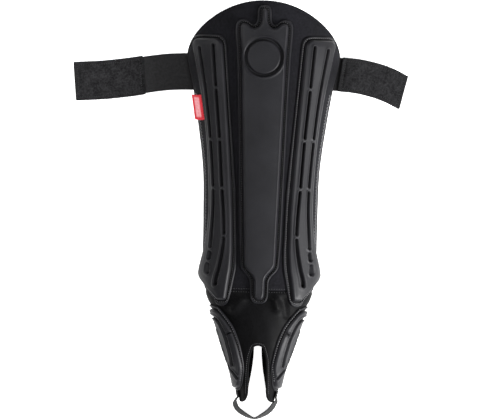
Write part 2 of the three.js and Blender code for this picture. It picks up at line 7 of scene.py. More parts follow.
import bpy
import numpy as np
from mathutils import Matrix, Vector


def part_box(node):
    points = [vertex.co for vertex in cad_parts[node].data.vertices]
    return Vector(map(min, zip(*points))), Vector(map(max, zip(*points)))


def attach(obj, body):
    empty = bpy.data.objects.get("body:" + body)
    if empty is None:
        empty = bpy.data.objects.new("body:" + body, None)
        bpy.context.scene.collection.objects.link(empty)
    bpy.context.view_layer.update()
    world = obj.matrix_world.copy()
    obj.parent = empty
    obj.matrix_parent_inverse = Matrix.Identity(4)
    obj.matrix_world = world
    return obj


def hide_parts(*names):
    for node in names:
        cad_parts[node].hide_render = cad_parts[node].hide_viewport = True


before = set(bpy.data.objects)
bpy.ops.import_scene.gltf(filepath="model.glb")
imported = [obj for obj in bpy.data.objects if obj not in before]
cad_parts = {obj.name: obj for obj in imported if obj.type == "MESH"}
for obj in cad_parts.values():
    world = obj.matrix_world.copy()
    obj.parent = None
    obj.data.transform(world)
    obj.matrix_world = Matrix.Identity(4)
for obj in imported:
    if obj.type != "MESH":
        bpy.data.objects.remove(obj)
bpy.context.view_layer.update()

MM = 0.001
# Guard points are mirrored in "down" wherever a face's direction counts.
MIRROR = np.array([1, -1, 1])


def table(names, *rows):
    """Rows as dictionaries by column name."""
    return [dict(zip(names.split(), row)) for row in rows]


# Main sizes
WALL = 3.0
RIM = 1.2
RIM_RINGS = 3
FLOOR_CLEAR = 0.05
LOOK_AHEAD = 0.3
PAD_CLEAR = 0.3
SEW_GAP = 0.5
STACK_GAP = 0.15
EDGE_CORNER = 0.5
PATH_STEP = 2.0
FLANGE = 2.0
FLANGE_WIDTH = 4.0
WALL_RUN = 1.0
CENTER_FACE = 7.0
SIDE_FACE = 6.5
ANKLE_FACE = 5.2
DOME = {"half": 82.3, "drop": 57, "across": 2, "along": 0.61, "top": 0.8}
SEAM_DOWN = 311.0
TAIL_END = 430.0
NOTCH_TOP = 370.0
STRAP_ZONE = {"lift": 2.4, "from": 99, "to": 113}
ELASTIC = 1.4
TAPE = 1.6
TAB_HEIGHTS = (15, 11, 8, 5.5, 3.4)
STIRRUP = {"width": 14, "thick": 1.3, "root": 86, "step": 0.9, "columns": 13}
TAG = {"from": 103, "to": 129, "reach": 10.5, "thick": 0.8, "droop": 24, "standoff": 3.2, "curl": 0.7}
# Round place on the center pad: its ring, the lip round that and the sunk disc.
BADGE = {
    "down": 61.6, "radius": 19.3, "width": 4.2, "depth": 3.0, "floor": (0.3, 1.05),
    "lip": 0.6, "lip_out": 2.9, "lip_width": 0.9, "sunk": 0.5, "disc": (16.5, 19),
}

SECTIONS = table(
    "down half crown wrap",
    (0, 82.5, 56, 92), (57, 82.3, 58, 93), (95, 75, 59, 95), (128, 69.5, 59.5, 97), (182, 62.6, 59, 100),
    (235, 61.2, 58, 105), (290, 60.6, 57, 114), (311, 57.9, 56, 126), (322, 54.2, 55.4, 138.6),
    (330, 49.4, 55, 148), (350, 41, 53, 166), (370, 35, 50, 173), (396, 25.8, 44, 166),
    (418, 20.9, 37, 150), (432, 18.2, 31, 140),
)
TAILS = table(
    "down front rear",
    (311.5, 0, 126.3), (320, 0, 136), (330, 0, 148), (341, 0, 159.5), (352, 0, 167.4), (362, 0, 171.6),
    (370, 0, 173), (371, 5, 173), (373.5, 9, 172.8), (378, 13, 172.3), (385, 17.3, 170.6),
    (396, 22, 166), (407, 25.6, 158.6), (416, 28.5, 151), (422, 32, 139), (426.4, 39.5, 126),
    (429.2, 55, 110), (430, 78, 100),
)
CENTER_PAD = table(
    "down flange face",
    (36, 30.8, 24.8), (61, 29.2, 23.2), (107, 27, 21.7), (183, 24.6, 19.3), (257, 22.5, 16.9),
    (283, 20.6, 15.9), (287, 20, 14.2), (291, 17.6, 10.8), (295, 13.8, 7.4), (299, 11, 5.7), (303, 10.1, 5.2),
    (314, 9.8, 5), (317, 9.6, 4.5), (318.8, 9.3, 3.7), (320, 8.9, 2.4), (322, 7.9, 2), (323.8, 6, 2),
    (324.8, 3.6, 2),
)
# Top of the center pad from the middle out: its flange edge and the edge of its raised face.
FLANGE_TOP = table(
    "x down",
    (0, 5.7), (3.2, 6.3), (5.9, 8.2), (7.3, 11.6), (7.5, 17), (7.8, 22), (9, 25.4), (11.2, 26.7),
    (14, 25.6), (17, 23), (20.4, 21.4), (24.4, 21.3), (28, 23.4), (30.2, 27.2), (30.8, 32), (30.8, 36),
)
FACE_TOP = table(
    "x down",
    (0, 10.2), (1.1, 10.7), (1.7, 12.4), (1.8, 17), (2.1, 21), (3, 25), (4.9, 28.4), (7.9, 30.8),
    (11.4, 31.3), (14.6, 29.8), (17.6, 27.2), (20.6, 26), (23.2, 26.6), (24.6, 28.8), (24.8, 32), (24.8, 36),
)
SCALLOP_END = 36.0
CENTER_END = {"face": 320.0, "edge": 324.8}
SIDE_PAD = table(
    "down flange face inner outer edge",
    (38.4, 50.5, 53, 58, 66.5, 72.4), (39.2, 47, 50.5, 57, 67.3, 74.4), (40.8, 44.1, 48.9, 56.2, 68.2, 76.4),
    (43, 42.2, 47.6, 55.5, 68.9, 77.5), (46.5, 41.1, 46.7, 54.8, 69.1, 77.6), (51, 40.3, 46, 54.3, 69, 77.2),
    (75, 38.4, 44, 52.2, 64.8, 72.4), (107, 36, 41.4, 49.3, 59.8, 66.3), (150, 32, 38, 45.3, 55, 60.5),
    (202, 27.4, 34.4, 41.8, 51, 57.2), (228, 26.3, 32.7, 39.8, 50.8, 56.8), (253, 25.6, 32, 38.9, 52.1, 59),
    (270, 25, 31.8, 40.3, 53.4, 62.2), (288, 25.6, 33, 43.6, 55.9, 66.2), (297, 27.2, 34.5, 46, 55, 66),
    (306, 29, 35.8, 47, 52.3, 60), (314, 30.7, 36.9, 43.8, 47.6, 52.8), (320, 32.2, 37.8, 41.8, 44.4, 47.4),
    (324, 33.8, 39.4, 41.8, 44, 46.2), (326.6, 35.8, 39.8, 41.6, 43.4, 45.2), (328, 39, 40.6, 41.4, 42.2, 43),
)
SIDE_ENDS = {
    "edge": 38.4, "face": 42.8, "corner": 6.5, "low_face": 321.0, "low_edge": 328.0, "low_corner": 1.6,
}
SIDE_TAPER = {"run": 6, "least": 0.1}
# Grooves of a side pad, segment by segment: the line it follows, its ends, and half its width at each end.
SIDE_GROOVES = table(
    "line from to wide_from wide_to",
    ("inner", 48.5, 93.8, 1.5, 1.5), ("inner", 96.4, 148.8, 1.5, 1.5), ("inner", 151.4, 200.8, 1.5, 1.55),
    ("inner", 203.4, 251.8, 1.55, 1.65), ("inner", 254.4, 307, 1.6, 2.3),
    ("outer", 51, 148.8, 1.45, 1.5), ("outer", 151.4, 200.8, 1.5, 1.5), ("outer", 203.4, 266.5, 1.5, 1.8),
)
SIDE_PITS = table(
    "line from to wide_from wide_to",
    ("outer", 269, 279.3, 2.3, 2.6), ("outer", 281.7, 294.5, 2.7, 3.3),
)
GROOVE_DEPTH = 4.2
PIT_DEPTH = 5.0
# Ankle pad by angle round the ankle, with the width of its front flange in millimetres.
ANKLE_PAD = table(
    "down front rear rim",
    (326.8, 80, 111, 5), (329.4, 60, 115, 5.2), (332, 56, 119, 5.2), (338.5, 49.5, 126, 5),
    (340.5, 47.8, 128, 4.9), (343, 45.4, 130, 4.8), (350, 40.2, 133, 4.4), (360, 35.4, 135, 4),
    (370, 32, 134.5, 3.7), (383, 30.8, 132, 3.2), (394, 32, 128, 2.6), (402, 37, 124.5, 2.4),
    (411, 44, 118, 2.4), (414.6, 50, 112, 2.6), (418.4, 62, 103, 3),
)
ANKLE_ENDS = {
    "edge": 326.8, "face": 332.4, "corner": 5, "low_face": 415.0, "low_edge": 418.4, "low_corner": 3,
}
# Ankle pad grooves by angle round the ankle: arch, diagonal below it, short notch, crease on the outer leaf.
ARCH = table(
    "down round",
    (391, 58), (383, 55), (370, 54.5), (360, 56.5), (350, 61.5), (344, 66), (340.6, 74), (339.6, 88),
    (340.6, 102), (344, 109), (350, 112), (360, 114), (370, 114), (383, 112), (392, 108),
)
ARCH_END = table("down x", (390.8, 31), (394.7, 29.6), (400, 25.4), (404.8, 21.6))
NOTCH = table("down x", (354.6, 28.2), (358.6, 34))
CREASE = table("down x", (354.3, 44.3), (363, 41.4), (371.6, 38.5), (386.9, 33.2))
# Half the width and the depth of each.
ANKLE_GROOVES = {"arch": (1.7, 2.6), "arch_end": (1.5, 2.3), "notch": (1.2, 2.2), "crease": (1.0, 0.9)}

STRAPS = {
    "left": {
        "side": -1,
        "tape": {"from": 128.5, "to": 201.5, "width": 40.2, "fold": 196.6},
        "band": table(
            "out middle width lean",
            (80, 77.4, 38, 0), (102, 78.6, 38, 2), (121, 81.2, 38, 5), (141, 84.7, 38, 6.5),
            (169, 88.4, 38, 5.5), (200.5, 90.6, 38, 5),
        ),
    },
    "right": {
        "side": 1,
        "tape": {"from": 83, "to": 150.5, "width": 35.6, "fold": 87},
        "band": table(
            "out middle width lean",
            (80, 77.4, 34.6, 8), (102, 79.4, 34, 11), (122, 83.8, 34, 14), (136.5, 88.9, 34, 15),
            (149.5, 95.4, 34, 14),
        ),
    },
}
STIRRUP_PATH = table(
    "down out up lean shift",
    (429, 22, 14.2, 9, -1), (432.5, 20.9, 11.5, 18, -2.3), (437, 18.7, 9, 19, -2.7),
    (441.2, 14.4, 7.9, 18, -2.6), (444.8, 8.8, 7.4, 15, -2.6), (447.4, 3.4, 7.2, 9, -2.3),
    (448.2, 0, 7.1, 5, -2.2),
)
STIRRUP_ROOTS = (418.8, 421, 423.5, 425.5)

# The guard's middle and top in the shared frame, from the sleeve's own box.
sleeve_low, sleeve_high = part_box("shin_sleeve")
MIDDLE_X = (sleeve_low.x + sleeve_high.x) / 2 / MM
TOP_Y = sleeve_high.y / MM + DOME["top"]


def to_world(points):
    """Guard points x, down, z in millimetres as points of the shared frame in metres."""
    points = np.asarray(points, float)
    return np.stack([points[..., 0] + MIDDLE_X, TOP_Y - points[..., 1], points[..., 2]], -1) * MM


def smooth(rows, column, along="down"):
    """A smooth curve through one column of a table."""
    at = np.array([row[along] for row in rows], float)
    value = np.array([row[column] for row in rows], float)
    slope = np.gradient(value)
    slope[1:-1] = (value[2:] - value[:-2]) / (at[2:] - at[:-2])
    slope[0] = (value[1] - value[0]) / (at[1] - at[0])
    slope[-1] = (value[-1] - value[-2]) / (at[-1] - at[-2])

    def curve(place):
        x = np.clip(place, at[0], at[-1])
        i = np.clip(np.searchsorted(at, x, side="left") - 1, 0, len(at) - 2)
        step = at[i + 1] - at[i]
        t = (x - at[i]) / step
        ease = t * t * (3 - 2 * t)
        bend = t * (1 - t) ** 2 * step * slope[i] + t * t * (t - 1) * step * slope[i + 1]
        return value[i] + ease * (value[i + 1] - value[i]) + bend

    return curve


def spline(points, spacing):
    """Points about a spacing apart on a smooth curve through these."""
    points = np.asarray(points, float)
    ends = [2 * points[0] - points[1], *points, 2 * points[-1] - points[-2]]
    found = []
    for a, b, c, d in zip(ends, ends[1:], ends[2:], ends[3:]):
        steps = max(1, int(np.ceil(np.linalg.norm(c - b) / spacing)))
        for t in np.arange(steps) / steps:
            found.append(0.5 * (2 * b + (c - a) * t + (2 * a - 5 * b + 4 * c - d) * t ** 2
                                + (3 * b - a - 3 * c + d) * t ** 3))
    return np.array([*found, points[-1]])


def ramp(low, high, value):
    t = np.clip((value - low) / (high - low), 0, 1)
    return t * t * (3 - 2 * t)


def bell(value, width):
    return np.exp(-(value / width) ** 2)


half_at = smooth(SECTIONS, "half")
crown_at = smooth(SECTIONS, "crown")
wrap_at = smooth(SECTIONS, "wrap")


def section(down):
    wrap = np.radians(wrap_at(down))
    deep = crown_at(down) / (1 - np.cos(wrap))
    return half_at(down), deep, deep * np.cos(wrap), wrap


def wall_normal(around, down):
    half, deep, _, _ = section(down)
    normal = np.stack([deep * np.sin(around), np.zeros_like(half * around), half * np.cos(around)], -1)
    return normal / np.linalg.norm(normal, axis=-1, keepdims=True)


def wall(around, down, lift):
    """Guard points on the sleeve at an angle round it, raised by a lift."""
    around, down, lift = np.broadcast_arrays(np.asarray(around, float), down, lift)
    half, deep, base, _ = section(down)
    flat = np.stack([half * np.sin(around), down, deep * np.cos(around) - base], -1)
    return flat + wall_normal(around, down) * lift[..., None]


def round_seen(x, down, lift):
    """The angle at which a point at this lift is seen at a distance from the middle."""
    low = np.zeros(np.broadcast(x, down, lift).shape)
    high = low + np.pi / 2
    for _ in range(36):
        middle = (low + high) / 2
        left = wall(middle, down, lift)[..., 0] < np.abs(x)
        low = np.where(left, middle, low)
        high = np.where(left, high, middle)
    return low * np.sign(x)


# Distances round the sleeve, tabulated by angle for every millimetre down.
ARC_ANGLES = np.linspace(0, np.pi, 1441)
ARC_DOWNS = np.arange(0, 433, 1.0)


def arc_table():
    half, deep, _, _ = section(ARC_DOWNS[:, None])
    middle = (ARC_ANGLES[1:] + ARC_ANGLES[:-1]) / 2
    speed = np.hypot(half * np.cos(middle), deep * np.sin(middle))
    steps = speed * (ARC_ANGLES[1] - ARC_ANGLES[0])
    return np.concatenate([np.zeros((len(ARC_DOWNS), 1)), np.cumsum(steps, 1)], 1)


ARCS = arc_table()


def arc(around, down):
    around, down = np.broadcast_arrays(np.asarray(around, float), down)
    i = np.clip(down.astype(int), 0, len(ARC_DOWNS) - 2)
    place = np.clip(around / (ARC_ANGLES[1] - ARC_ANGLES[0]), 0, len(ARC_ANGLES) - 1.001)
    j = place.astype(int)
    u, v = down - i, place - j
    upper = ARCS[i, j] * (1 - v) + ARCS[i, j + 1] * v
    lower = ARCS[i + 1, j] * (1 - v) + ARCS[i + 1, j + 1] * v
    return upper * (1 - u) + lower * u


def arc_round(distance, down):
    """The angle at a distance round the sleeve from the middle of the front."""
    half, deep, _, _ = section(down)
    around = np.clip(distance / half, 0.001, np.pi - 0.01)
    for _ in range(12):
        speed = np.hypot(half * np.cos(around), deep * np.sin(around))
        around = np.clip(around - (arc(around, down) - distance) / speed, 0, np.pi - 0.001)
    return around


def dome_edge(x):
    share = np.minimum(np.abs(x) / DOME["half"], 1)
    return DOME["top"] + DOME["drop"] * (1 - (1 - share ** DOME["across"]) ** DOME["along"])


def back_edge(down):
    _, deep, _, wrap = section(down)
    lift = STRAP_ZONE["lift"] * (1 - ramp(STRAP_ZONE["from"], STRAP_ZONE["to"], down))
    return wrap - lift / (deep * np.sin(wrap))


# Flat outlines and distances

def segment_distance(points, a, b):
    """Distance from points to a straight piece, and the share of the way along it."""
    along = b - a
    share = np.clip((points - a) @ along / max(along @ along, 1e-12), 0, 1)
    return np.linalg.norm(points - a - share[:, None] * along, axis=1), share


def path_distance(points, path):
    """Distance from points to an open path, and the share of it passed at the nearest place."""
    best = np.full(len(points), 1e9)
    passed = np.zeros(len(points))
    for i, (a, b) in enumerate(zip(path, path[1:])):
        distance, share = segment_distance(points, a, b)
        nearer = distance < best
        best = np.where(nearer, distance, best)
        passed = np.where(nearer, (i + share) / (len(path) - 1), passed)
    return best, passed


def inside_distance(points, loop):
    """Distance to a closed outline, positive inside it."""
    best = np.full(len(points), 1e9)
    inside = np.zeros(len(points), bool)
    for a, b in zip(loop, np.roll(loop, -1, axis=0)):
        best = np.minimum(best, segment_distance(points, a, b)[0])
        crosses = (a[1] > points[:, 1]) != (b[1] > points[:, 1])
        rise = b[1] - a[1] if b[1] != a[1] else 1e-12
        inside ^= crosses & (points[:, 0] < a[0] + (points[:, 1] - a[1]) * (b[0] - a[0]) / rise)
    return np.where(inside, best, -best)


def offset_loop(loop, distance):
    """A closed outline moved outwards by a distance."""
    ahead = np.roll(loop, -1, axis=0) - np.roll(loop, 1, axis=0)
    ahead /= np.linalg.norm(ahead, axis=1, keepdims=True)
    area = np.sum(loop[:, 0] * np.roll(loop[:, 1], -1) - np.roll(loop[:, 0], -1) * loop[:, 1])
    outward = np.stack([ahead[:, 1], -ahead[:, 0]], 1) * np.sign(area)
    return loop + outward * distance


def rounded_ends(left, right, start, end, radius, low_radius, spacing=1.0):
    """The outline between two lines, from one place down to another, with rounded corners."""
    turn = 1 - np.cos(np.linspace(0, np.pi / 2, 7))
    downs = np.concatenate([
        start + radius * turn,
        np.arange(start + radius + spacing, end - low_radius, spacing),
        end - low_radius * turn[::-1],
    ])
    inset = np.zeros(len(downs))
    for near, corner in ((downs - start, radius), (end - downs, low_radius)):
        inset += corner - np.sqrt(np.maximum(corner ** 2 - np.maximum(corner - near, 0) ** 2, 0))
    inset = np.minimum(inset, (right(downs) - left(downs)) * 0.45)
    one = np.stack([left(downs) + inset, downs], 1)
    other = np.stack([right(downs) - inset, downs], 1)
    return np.concatenate([one, other[::-1]])


# Meshes

def grid_faces(rows, columns):
    """The faces of a grid whose points are numbered row by row."""
    r, c = np.meshgrid(np.arange(rows - 1), np.arange(columns - 1), indexing="ij")
    first = (r * columns + c).ravel()
    return np.stack([first, first + columns, first + columns + 1, first + 1], 1).tolist()


def renumbered(faces):
    """The numbers of the points that faces use, and the faces numbered by their order."""
    used = sorted({i for face in faces for i in face})
    number = {old: new for new, old in enumerate(used)}
    return used, [[number[i] for i in face] for face in faces]


def clipped_grid(places, field):
    """The part of a grid of flat places where the field is positive, as points and faces."""
    rows, columns = field.shape
    flat = places.reshape(-1, 2)
    inside = field.ravel() > 0
    faces, points, cuts = [], list(flat), {}

    def cut(a, b):
        key = (min(a, b), max(a, b))
        if key not in cuts:
            share = field.ravel()[a] / (field.ravel()[a] - field.ravel()[b])
            cuts[key] = len(points)
            points.append(flat[a] + share * (flat[b] - flat[a]))
        return cuts[key]

    for face in grid_faces(rows, columns):
        held = inside[face]
        if held.all():
            faces.append(face)
        elif held.any():
            shape = []
            for a, b in zip(face, face[1:] + face[:1]):
                if inside[a]:
                    shape.append(a)
                if inside[a] != inside[b]:
                    shape.append(cut(a, b))
            if len(shape) > 2:
                faces.append(shape)
    used, faces = renumbered(faces)
    return np.array(points)[used], faces


def closed_sheet(outer, inner, faces, bulge=0.0, rings=0):
    """Closes two matching faces round their edges with a rounded rim.

    Gives the points and faces, and for each point the number of the outer point that it belongs to.
    """
    outer, inner = outer * MIRROR, inner * MIRROR
    edges = {(a, b) for face in faces for a, b in zip(face, face[1:] + face[:1])}
    free = np.array([(a, b) for a, b in sorted(edges) if (b, a) not in edges])
    count = len(outer)
    points = [outer, inner]
    all_faces = list(faces) + [[count + i for i in reversed(face)] for face in faces]
    on_rim = np.unique(free)
    place = {int(v): k for k, v in enumerate(on_rim)}
    out = np.zeros_like(outer)
    along = outer[free[:, 1]] - outer[free[:, 0]]
    for end in (0, 1):
        normal = outer[free[:, end]] - inner[free[:, end]]
        np.add.at(out, free[:, end], np.cross(along, normal))
    out = out[on_rim]
    out /= np.maximum(np.linalg.norm(out, axis=1, keepdims=True), 1e-9)
    middle = (outer[on_rim] + inner[on_rim]) / 2
    reach = (outer[on_rim] - inner[on_rim]) / 2
    starts = []
    for k in range(rings):
        turn = math.pi * (k + 1) / (rings + 1)
        starts.append(2 * count + k * len(on_rim))
        points.append(middle + reach * math.cos(turn) + out * bulge * math.sin(turn))
    for a, b in free.tolist():
        chain_a = [a, *(s + place[a] for s in starts), count + a]
        chain_b = [b, *(s + place[b] for s in starts), count + b]
        for k in range(len(chain_a) - 1):
            all_faces.append([chain_b[k], chain_a[k], chain_a[k + 1], chain_b[k + 1]])
    source = np.concatenate([np.arange(count), np.arange(count), *[on_rim] * rings])
    return np.concatenate(points) * MIRROR, all_faces, source


def above_floor(points):
    """Points lifted clear of the floor where they are below it."""
    return np.stack([points[:, 0], points[:, 1], np.maximum(points[:, 2], FLOOR_CLEAR)], 1)


def add_piece(name, points, faces, material, uv=None):
    """A smooth mesh at guard points, riding on the guard."""
    mesh = bpy.data.meshes.new(name)
    mesh.from_pydata(to_world(points).tolist(), [], faces)
    mesh.update()
    mesh.polygons.foreach_set("use_smooth", np.ones(len(mesh.polygons), bool))
    if uv is not None:
        corners = np.zeros(len(mesh.loops), np.int32)
        mesh.loops.foreach_get("vertex_index", corners)
        mesh.uv_layers.new(name="flat").data.foreach_set("uv", uv[corners].astype(np.float32).ravel())
    mesh.materials.append(material)
    piece = bpy.data.objects.new(name, mesh)
    bpy.context.scene.collection.objects.link(piece)
    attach(piece, "root")
    return piece


def add_strip(name, middle, thick, material, uv):
    """A band with rounded edges round a grid of middle points."""
    along = np.gradient(middle * MIRROR, axis=0)
    across = np.gradient(middle * MIRROR, axis=1)
    normal = np.cross(along, across) * MIRROR
    normal /= np.linalg.norm(normal, axis=-1, keepdims=True)
    outer = (middle + normal * thick / 2).reshape(-1, 3)
    inner = (middle - normal * thick / 2).reshape(-1, 3)
    points, faces, source = closed_sheet(outer, inner, grid_faces(*middle.shape[:2]), thick / 2, RIM_RINGS)
    return add_piece(name, above_floor(points), faces, material, uv.reshape(-1, 2)[source])


def path_run(points):
    """The distance along a path at each of its points."""
    return np.concatenate([[0], np.cumsum(np.linalg.norm(np.diff(points, axis=0), axis=1))])


def along_path(places, run, values):
    """Values that go with a path's points, at distances along it."""
    return np.stack([np.interp(places, run, values[:, k]) for k in range(values.shape[1])], 1)


def resample(points, normals, pitch):
    """Places a pitch apart on a path, with the direction of the path and the normals there."""
    run = path_run(points)
    count = max(2, int(run[-1] / pitch))
    places = (np.arange(count) + 0.5) * run[-1] / count
    along = along_path(places + LOOK_AHEAD, run, points) - along_path(places - LOOK_AHEAD, run, points)
    along /= np.linalg.norm(along, axis=1, keepdims=True)
    return along_path(places, run, points), along, along_path(places, run, normals)


# A stitch from end to end: place along it, thickness and height as shares of its size.
STITCH_RINGS = table(
    "along thick up",
    (-1, 0.35, -1), (-0.7, 0.9, -0.1), (0, 1, 0.3), (0.7, 0.9, -0.1), (1, 0.35, -1),
)
STITCH_SIDES = 6


def stitch_points(places, along, up, length, radius):
    """Stitches as one array of points and faces."""
    side = np.cross(along, up)
    side /= np.linalg.norm(side, axis=1, keepdims=True)
    up = np.cross(side, along)
    turns = np.arange(STITCH_SIDES) * 2 * np.pi / STITCH_SIDES
    points = []
    for ring in STITCH_RINGS:
        middle = places + along * ring["along"] * length / 2 + up * ring["up"] * radius
        for turn in turns:
            points.append(middle + (side * np.cos(turn) + up * np.sin(turn)) * radius * ring["thick"])
    points = np.stack(points, 1)
    rings = len(STITCH_RINGS)
    one = []
    for r in range(rings - 1):
        for k in range(STITCH_SIDES):
            nxt = (k + 1) % STITCH_SIDES
            low, high = r * STITCH_SIDES, (r + 1) * STITCH_SIDES
            one.append([low + k, low + nxt, high + nxt, high + k])
    one.append(list(range(STITCH_SIDES))[::-1])
    one.append([(rings - 1) * STITCH_SIDES + k for k in range(STITCH_SIDES)])
    size = rings * STITCH_SIDES
    faces = [[i * size + v for v in face] for i in range(len(places)) for face in one]
    return points.reshape(-1, 3), faces


def add_stitches(name, runs, material):
    """One mesh of stitches from runs of (points, normals, pitch, length, radius)."""
    points, faces, count = [], [], 0
    for path, normals, pitch, length, radius in runs:
        more, shapes = stitch_points(*resample(path, normals, pitch), length, radius)
        points.append(more)
        faces += [[count + v for v in face] for face in shapes]
        count += len(more)
    return add_piece(name, np.concatenate(points), faces, material)


def zigzag(path, normals, pitch, reach):
    """A zigzag path about a line."""
    places, along, up = resample(path, normals, pitch / 2)
    side = np.cross(along, up)
    sign = np.where(np.arange(len(places)) % 2, 1, -1)[:, None]
    return places + side * sign * reach / 2, up


# Materials

class Look:
    """A principled material with helpers for its texture nodes."""

    def __init__(self, name, roughness, specular, sheen=0.0, sheen_roughness=0.5):
        self.material = bpy.data.materials.new(name)
        self.material.use_nodes = True
        self.nodes = self.material.node_tree.nodes
        self.links = self.material.node_tree.links
        self.shader = self.nodes["Principled BSDF"]
        self.shader.inputs["Roughness"].default_value = roughness
        self.shader.inputs["Specular IOR Level"].default_value = specular
        self.shader.inputs["Sheen Weight"].default_value = sheen
        self.shader.inputs["Sheen Roughness"].default_value = sheen_roughness
        self.place = self.nodes.new("ShaderNodeTexCoord").outputs["Object"]
        self.height = None

    def flat(self):
        node = self.nodes.new("ShaderNodeUVMap")
        node.uv_map = "flat"
        self.place = node.outputs["UV"]

    def node(self, kind, inputs=None, **settings):
        node = self.nodes.new(kind)
        for key, value in settings.items():
            setattr(node, key, value)
        for key, value in (inputs or {}).items():
            if isinstance(value, bpy.types.NodeSocket):
                self.links.new(value, node.inputs[key])
            else:
                node.inputs[key].default_value = value
        return node

    def noise(self, scale, detail=2.0, rough=0.5):
        inputs = {"Vector": self.place, "Scale": scale, "Detail": detail, "Roughness": rough}
        return self.node("ShaderNodeTexNoise", inputs).outputs["Fac"]

    def voronoi(self, scale):
        return self.node("ShaderNodeTexVoronoi", {"Vector": self.place, "Scale": scale}).outputs["Distance"]

    def bands(self, pitch, direction, distortion=0.0):
        inputs = {"Vector": self.place, "Scale": math.pi / 10 / pitch, "Distortion": distortion}
        return self.node("ShaderNodeTexWave", inputs, bands_direction=direction).outputs["Fac"]

    def math(self, operation, a, b):
        return self.node("ShaderNodeMath", {0: a, 1: b}, operation=operation).outputs["Value"]

    def blend(self, first, second, share):
        """A share of one pattern and the rest of another."""
        return self.math("ADD", self.math("MULTIPLY", first, share), self.math("MULTIPLY", second, 1 - share))

    def mapped(self, value, low, high, to_low=0.0, to_high=1.0):
        inputs = {"Value": value, "From Min": low, "From Max": high, "To Min": to_low, "To Max": to_high}
        return self.node("ShaderNodeMapRange", inputs).outputs["Result"]

    def mix(self, share, dark, light):
        node = self.nodes.new("ShaderNodeMix")
        node.data_type = "RGBA"
        self.links.new(share, node.inputs["Factor"])
        for socket, value in ((node.inputs[6], dark), (node.inputs[7], light)):
            if isinstance(value, bpy.types.NodeSocket):
                self.links.new(value, socket)
            else:
                socket.default_value = (*value, 1)
        return node.outputs[2]

    def crease_shade_share(self, distance):
        """How open a place is to the room, from 0 in a narrow crease to 1. A colour mixed by it gets painted
        shade in creases.
        """
        node = self.node("ShaderNodeAmbientOcclusion", {"Distance": distance * MM}, samples=8)
        return self.mapped(node.outputs["AO"], 0.35, 0.85)

    def colour(self, socket):
        self.links.new(socket, self.shader.inputs["Base Color"])

    def roughness(self, socket):
        self.links.new(socket, self.shader.inputs["Roughness"])

    def bump(self, height, distance, strength=1.0):
        inputs = {"Height": height, "Distance": distance * MM, "Strength": strength}
        if self.height is not None:
            inputs["Normal"] = self.height
        self.height = self.node("ShaderNodeBump", inputs).outputs["Normal"]
        self.links.new(self.height, self.shader.inputs["Normal"])


def neoprene_look(name, dark, light, rough, shine):
    look = Look(name, rough, shine, 0.01, 0.6)
    knit = look.math("MULTIPLY", look.bands(0.75 * MM, "X"), look.bands(0.6 * MM, "Y"))
    cloud = look.noise(45, 3)
    speck = look.noise(420, 4, 0.7)
    tone = look.blend(cloud, speck, 0.35)
    cloth = look.mix(look.mapped(tone, 0.38, 0.62), dark, light)
    # Painted shade: the knit's colour goes near black in creases and beside the pads.
    look.colour(look.mix(look.crease_shade_share(9), (0.0006, 0.0006, 0.0007), cloth))
    look.roughness(look.mapped(cloud, 0.3, 0.7, rough - 0.07, rough + 0.07))
    look.bump(look.noise(160, 3), 0.25, 0.4)
    look.bump(knit, 0.08, 0.6)
    return look.material


def pad_look():
    look = Look("pad_cover", 0.55, 0.15)
    cloud = look.noise(38, 3)
    grain = look.noise(900, 4, 0.65)
    tone = look.blend(cloud, grain, 0.6)
    cover = look.mix(look.mapped(tone, 0.35, 0.65), (0.0034, 0.0034, 0.0045), (0.0064, 0.0064, 0.0080))
    # Painted shade: the cover's colour goes near black in grooves, pits and sewn channels, and it is rougher
    # there.
    share = look.crease_shade_share(3.6)
    look.colour(look.mix(share, (0.0004, 0.0004, 0.0005), cover))
    look.roughness(look.mapped(share, 0, 1, 0.95, look.mapped(grain, 0.3, 0.7, 0.4, 0.54)))
    look.bump(look.noise(120, 2), 0.3, 0.25)
    look.bump(grain, 0.06, 0.5)
    return look.material


def thread_look(name, dark, light):
    look = Look(name, 0.6, 0.3)
    twist = look.bands(0.5 * MM, "DIAGONAL")
    look.colour(look.mix(twist, dark, light))
    look.bump(twist, 0.1, 0.6)
    return look.material


def elastic_look(name, dark, light, rib):
    look = Look(name, 0.75, 0.1, 0.015, 0.5)
    look.flat()
    ribs = look.bands(rib, "X", 0.6)
    lines = look.bands(1.3, "Y", 0.3)
    fuzz = look.noise(0.4, 5, 0.75)
    weave = look.blend(ribs, lines, 0.7)
    tone = look.blend(weave, fuzz, 0.35)
    cloth = look.mix(look.mapped(tone, 0.34, 0.66), dark, light)
    # Painted shade: the elastic's colour goes darker in creases and where it lies close under other parts.
    look.colour(look.mix(look.crease_shade_share(7), (0.0012, 0.0012, 0.0013), cloth))
    look.roughness(look.mapped(fuzz, 0.3, 0.7, 0.68, 0.85))
    look.bump(weave, 0.22, 0.8)
    look.bump(fuzz, 0.1, 0.5)
    return look.material


def tape_look():
    look = Look("hook_and_loop_tape", 0.85, 0.08, 0.03, 0.4)
    look.flat()
    loops = look.voronoi(1.5)
    fuzz = look.noise(0.42, 6, 0.8)
    patch = look.noise(0.12, 2)
    tone = look.blend(fuzz, patch, 0.75)
    look.colour(look.mix(look.mapped(tone, 0.4, 0.6), (0.0022, 0.0022, 0.0026), (0.0168, 0.0168, 0.0178)))
    look.bump(loops, 0.35, 0.7)
    look.bump(fuzz, 0.25, 0.7)
    return look.material


# Pale field of the tag: its middle along and across, and where it starts and is full.
TAG_FIELD = table("axis middle outer inner", ("Y", 5.6, 3.4, 2.2), ("X", 12.6, 11.4, 9.6))


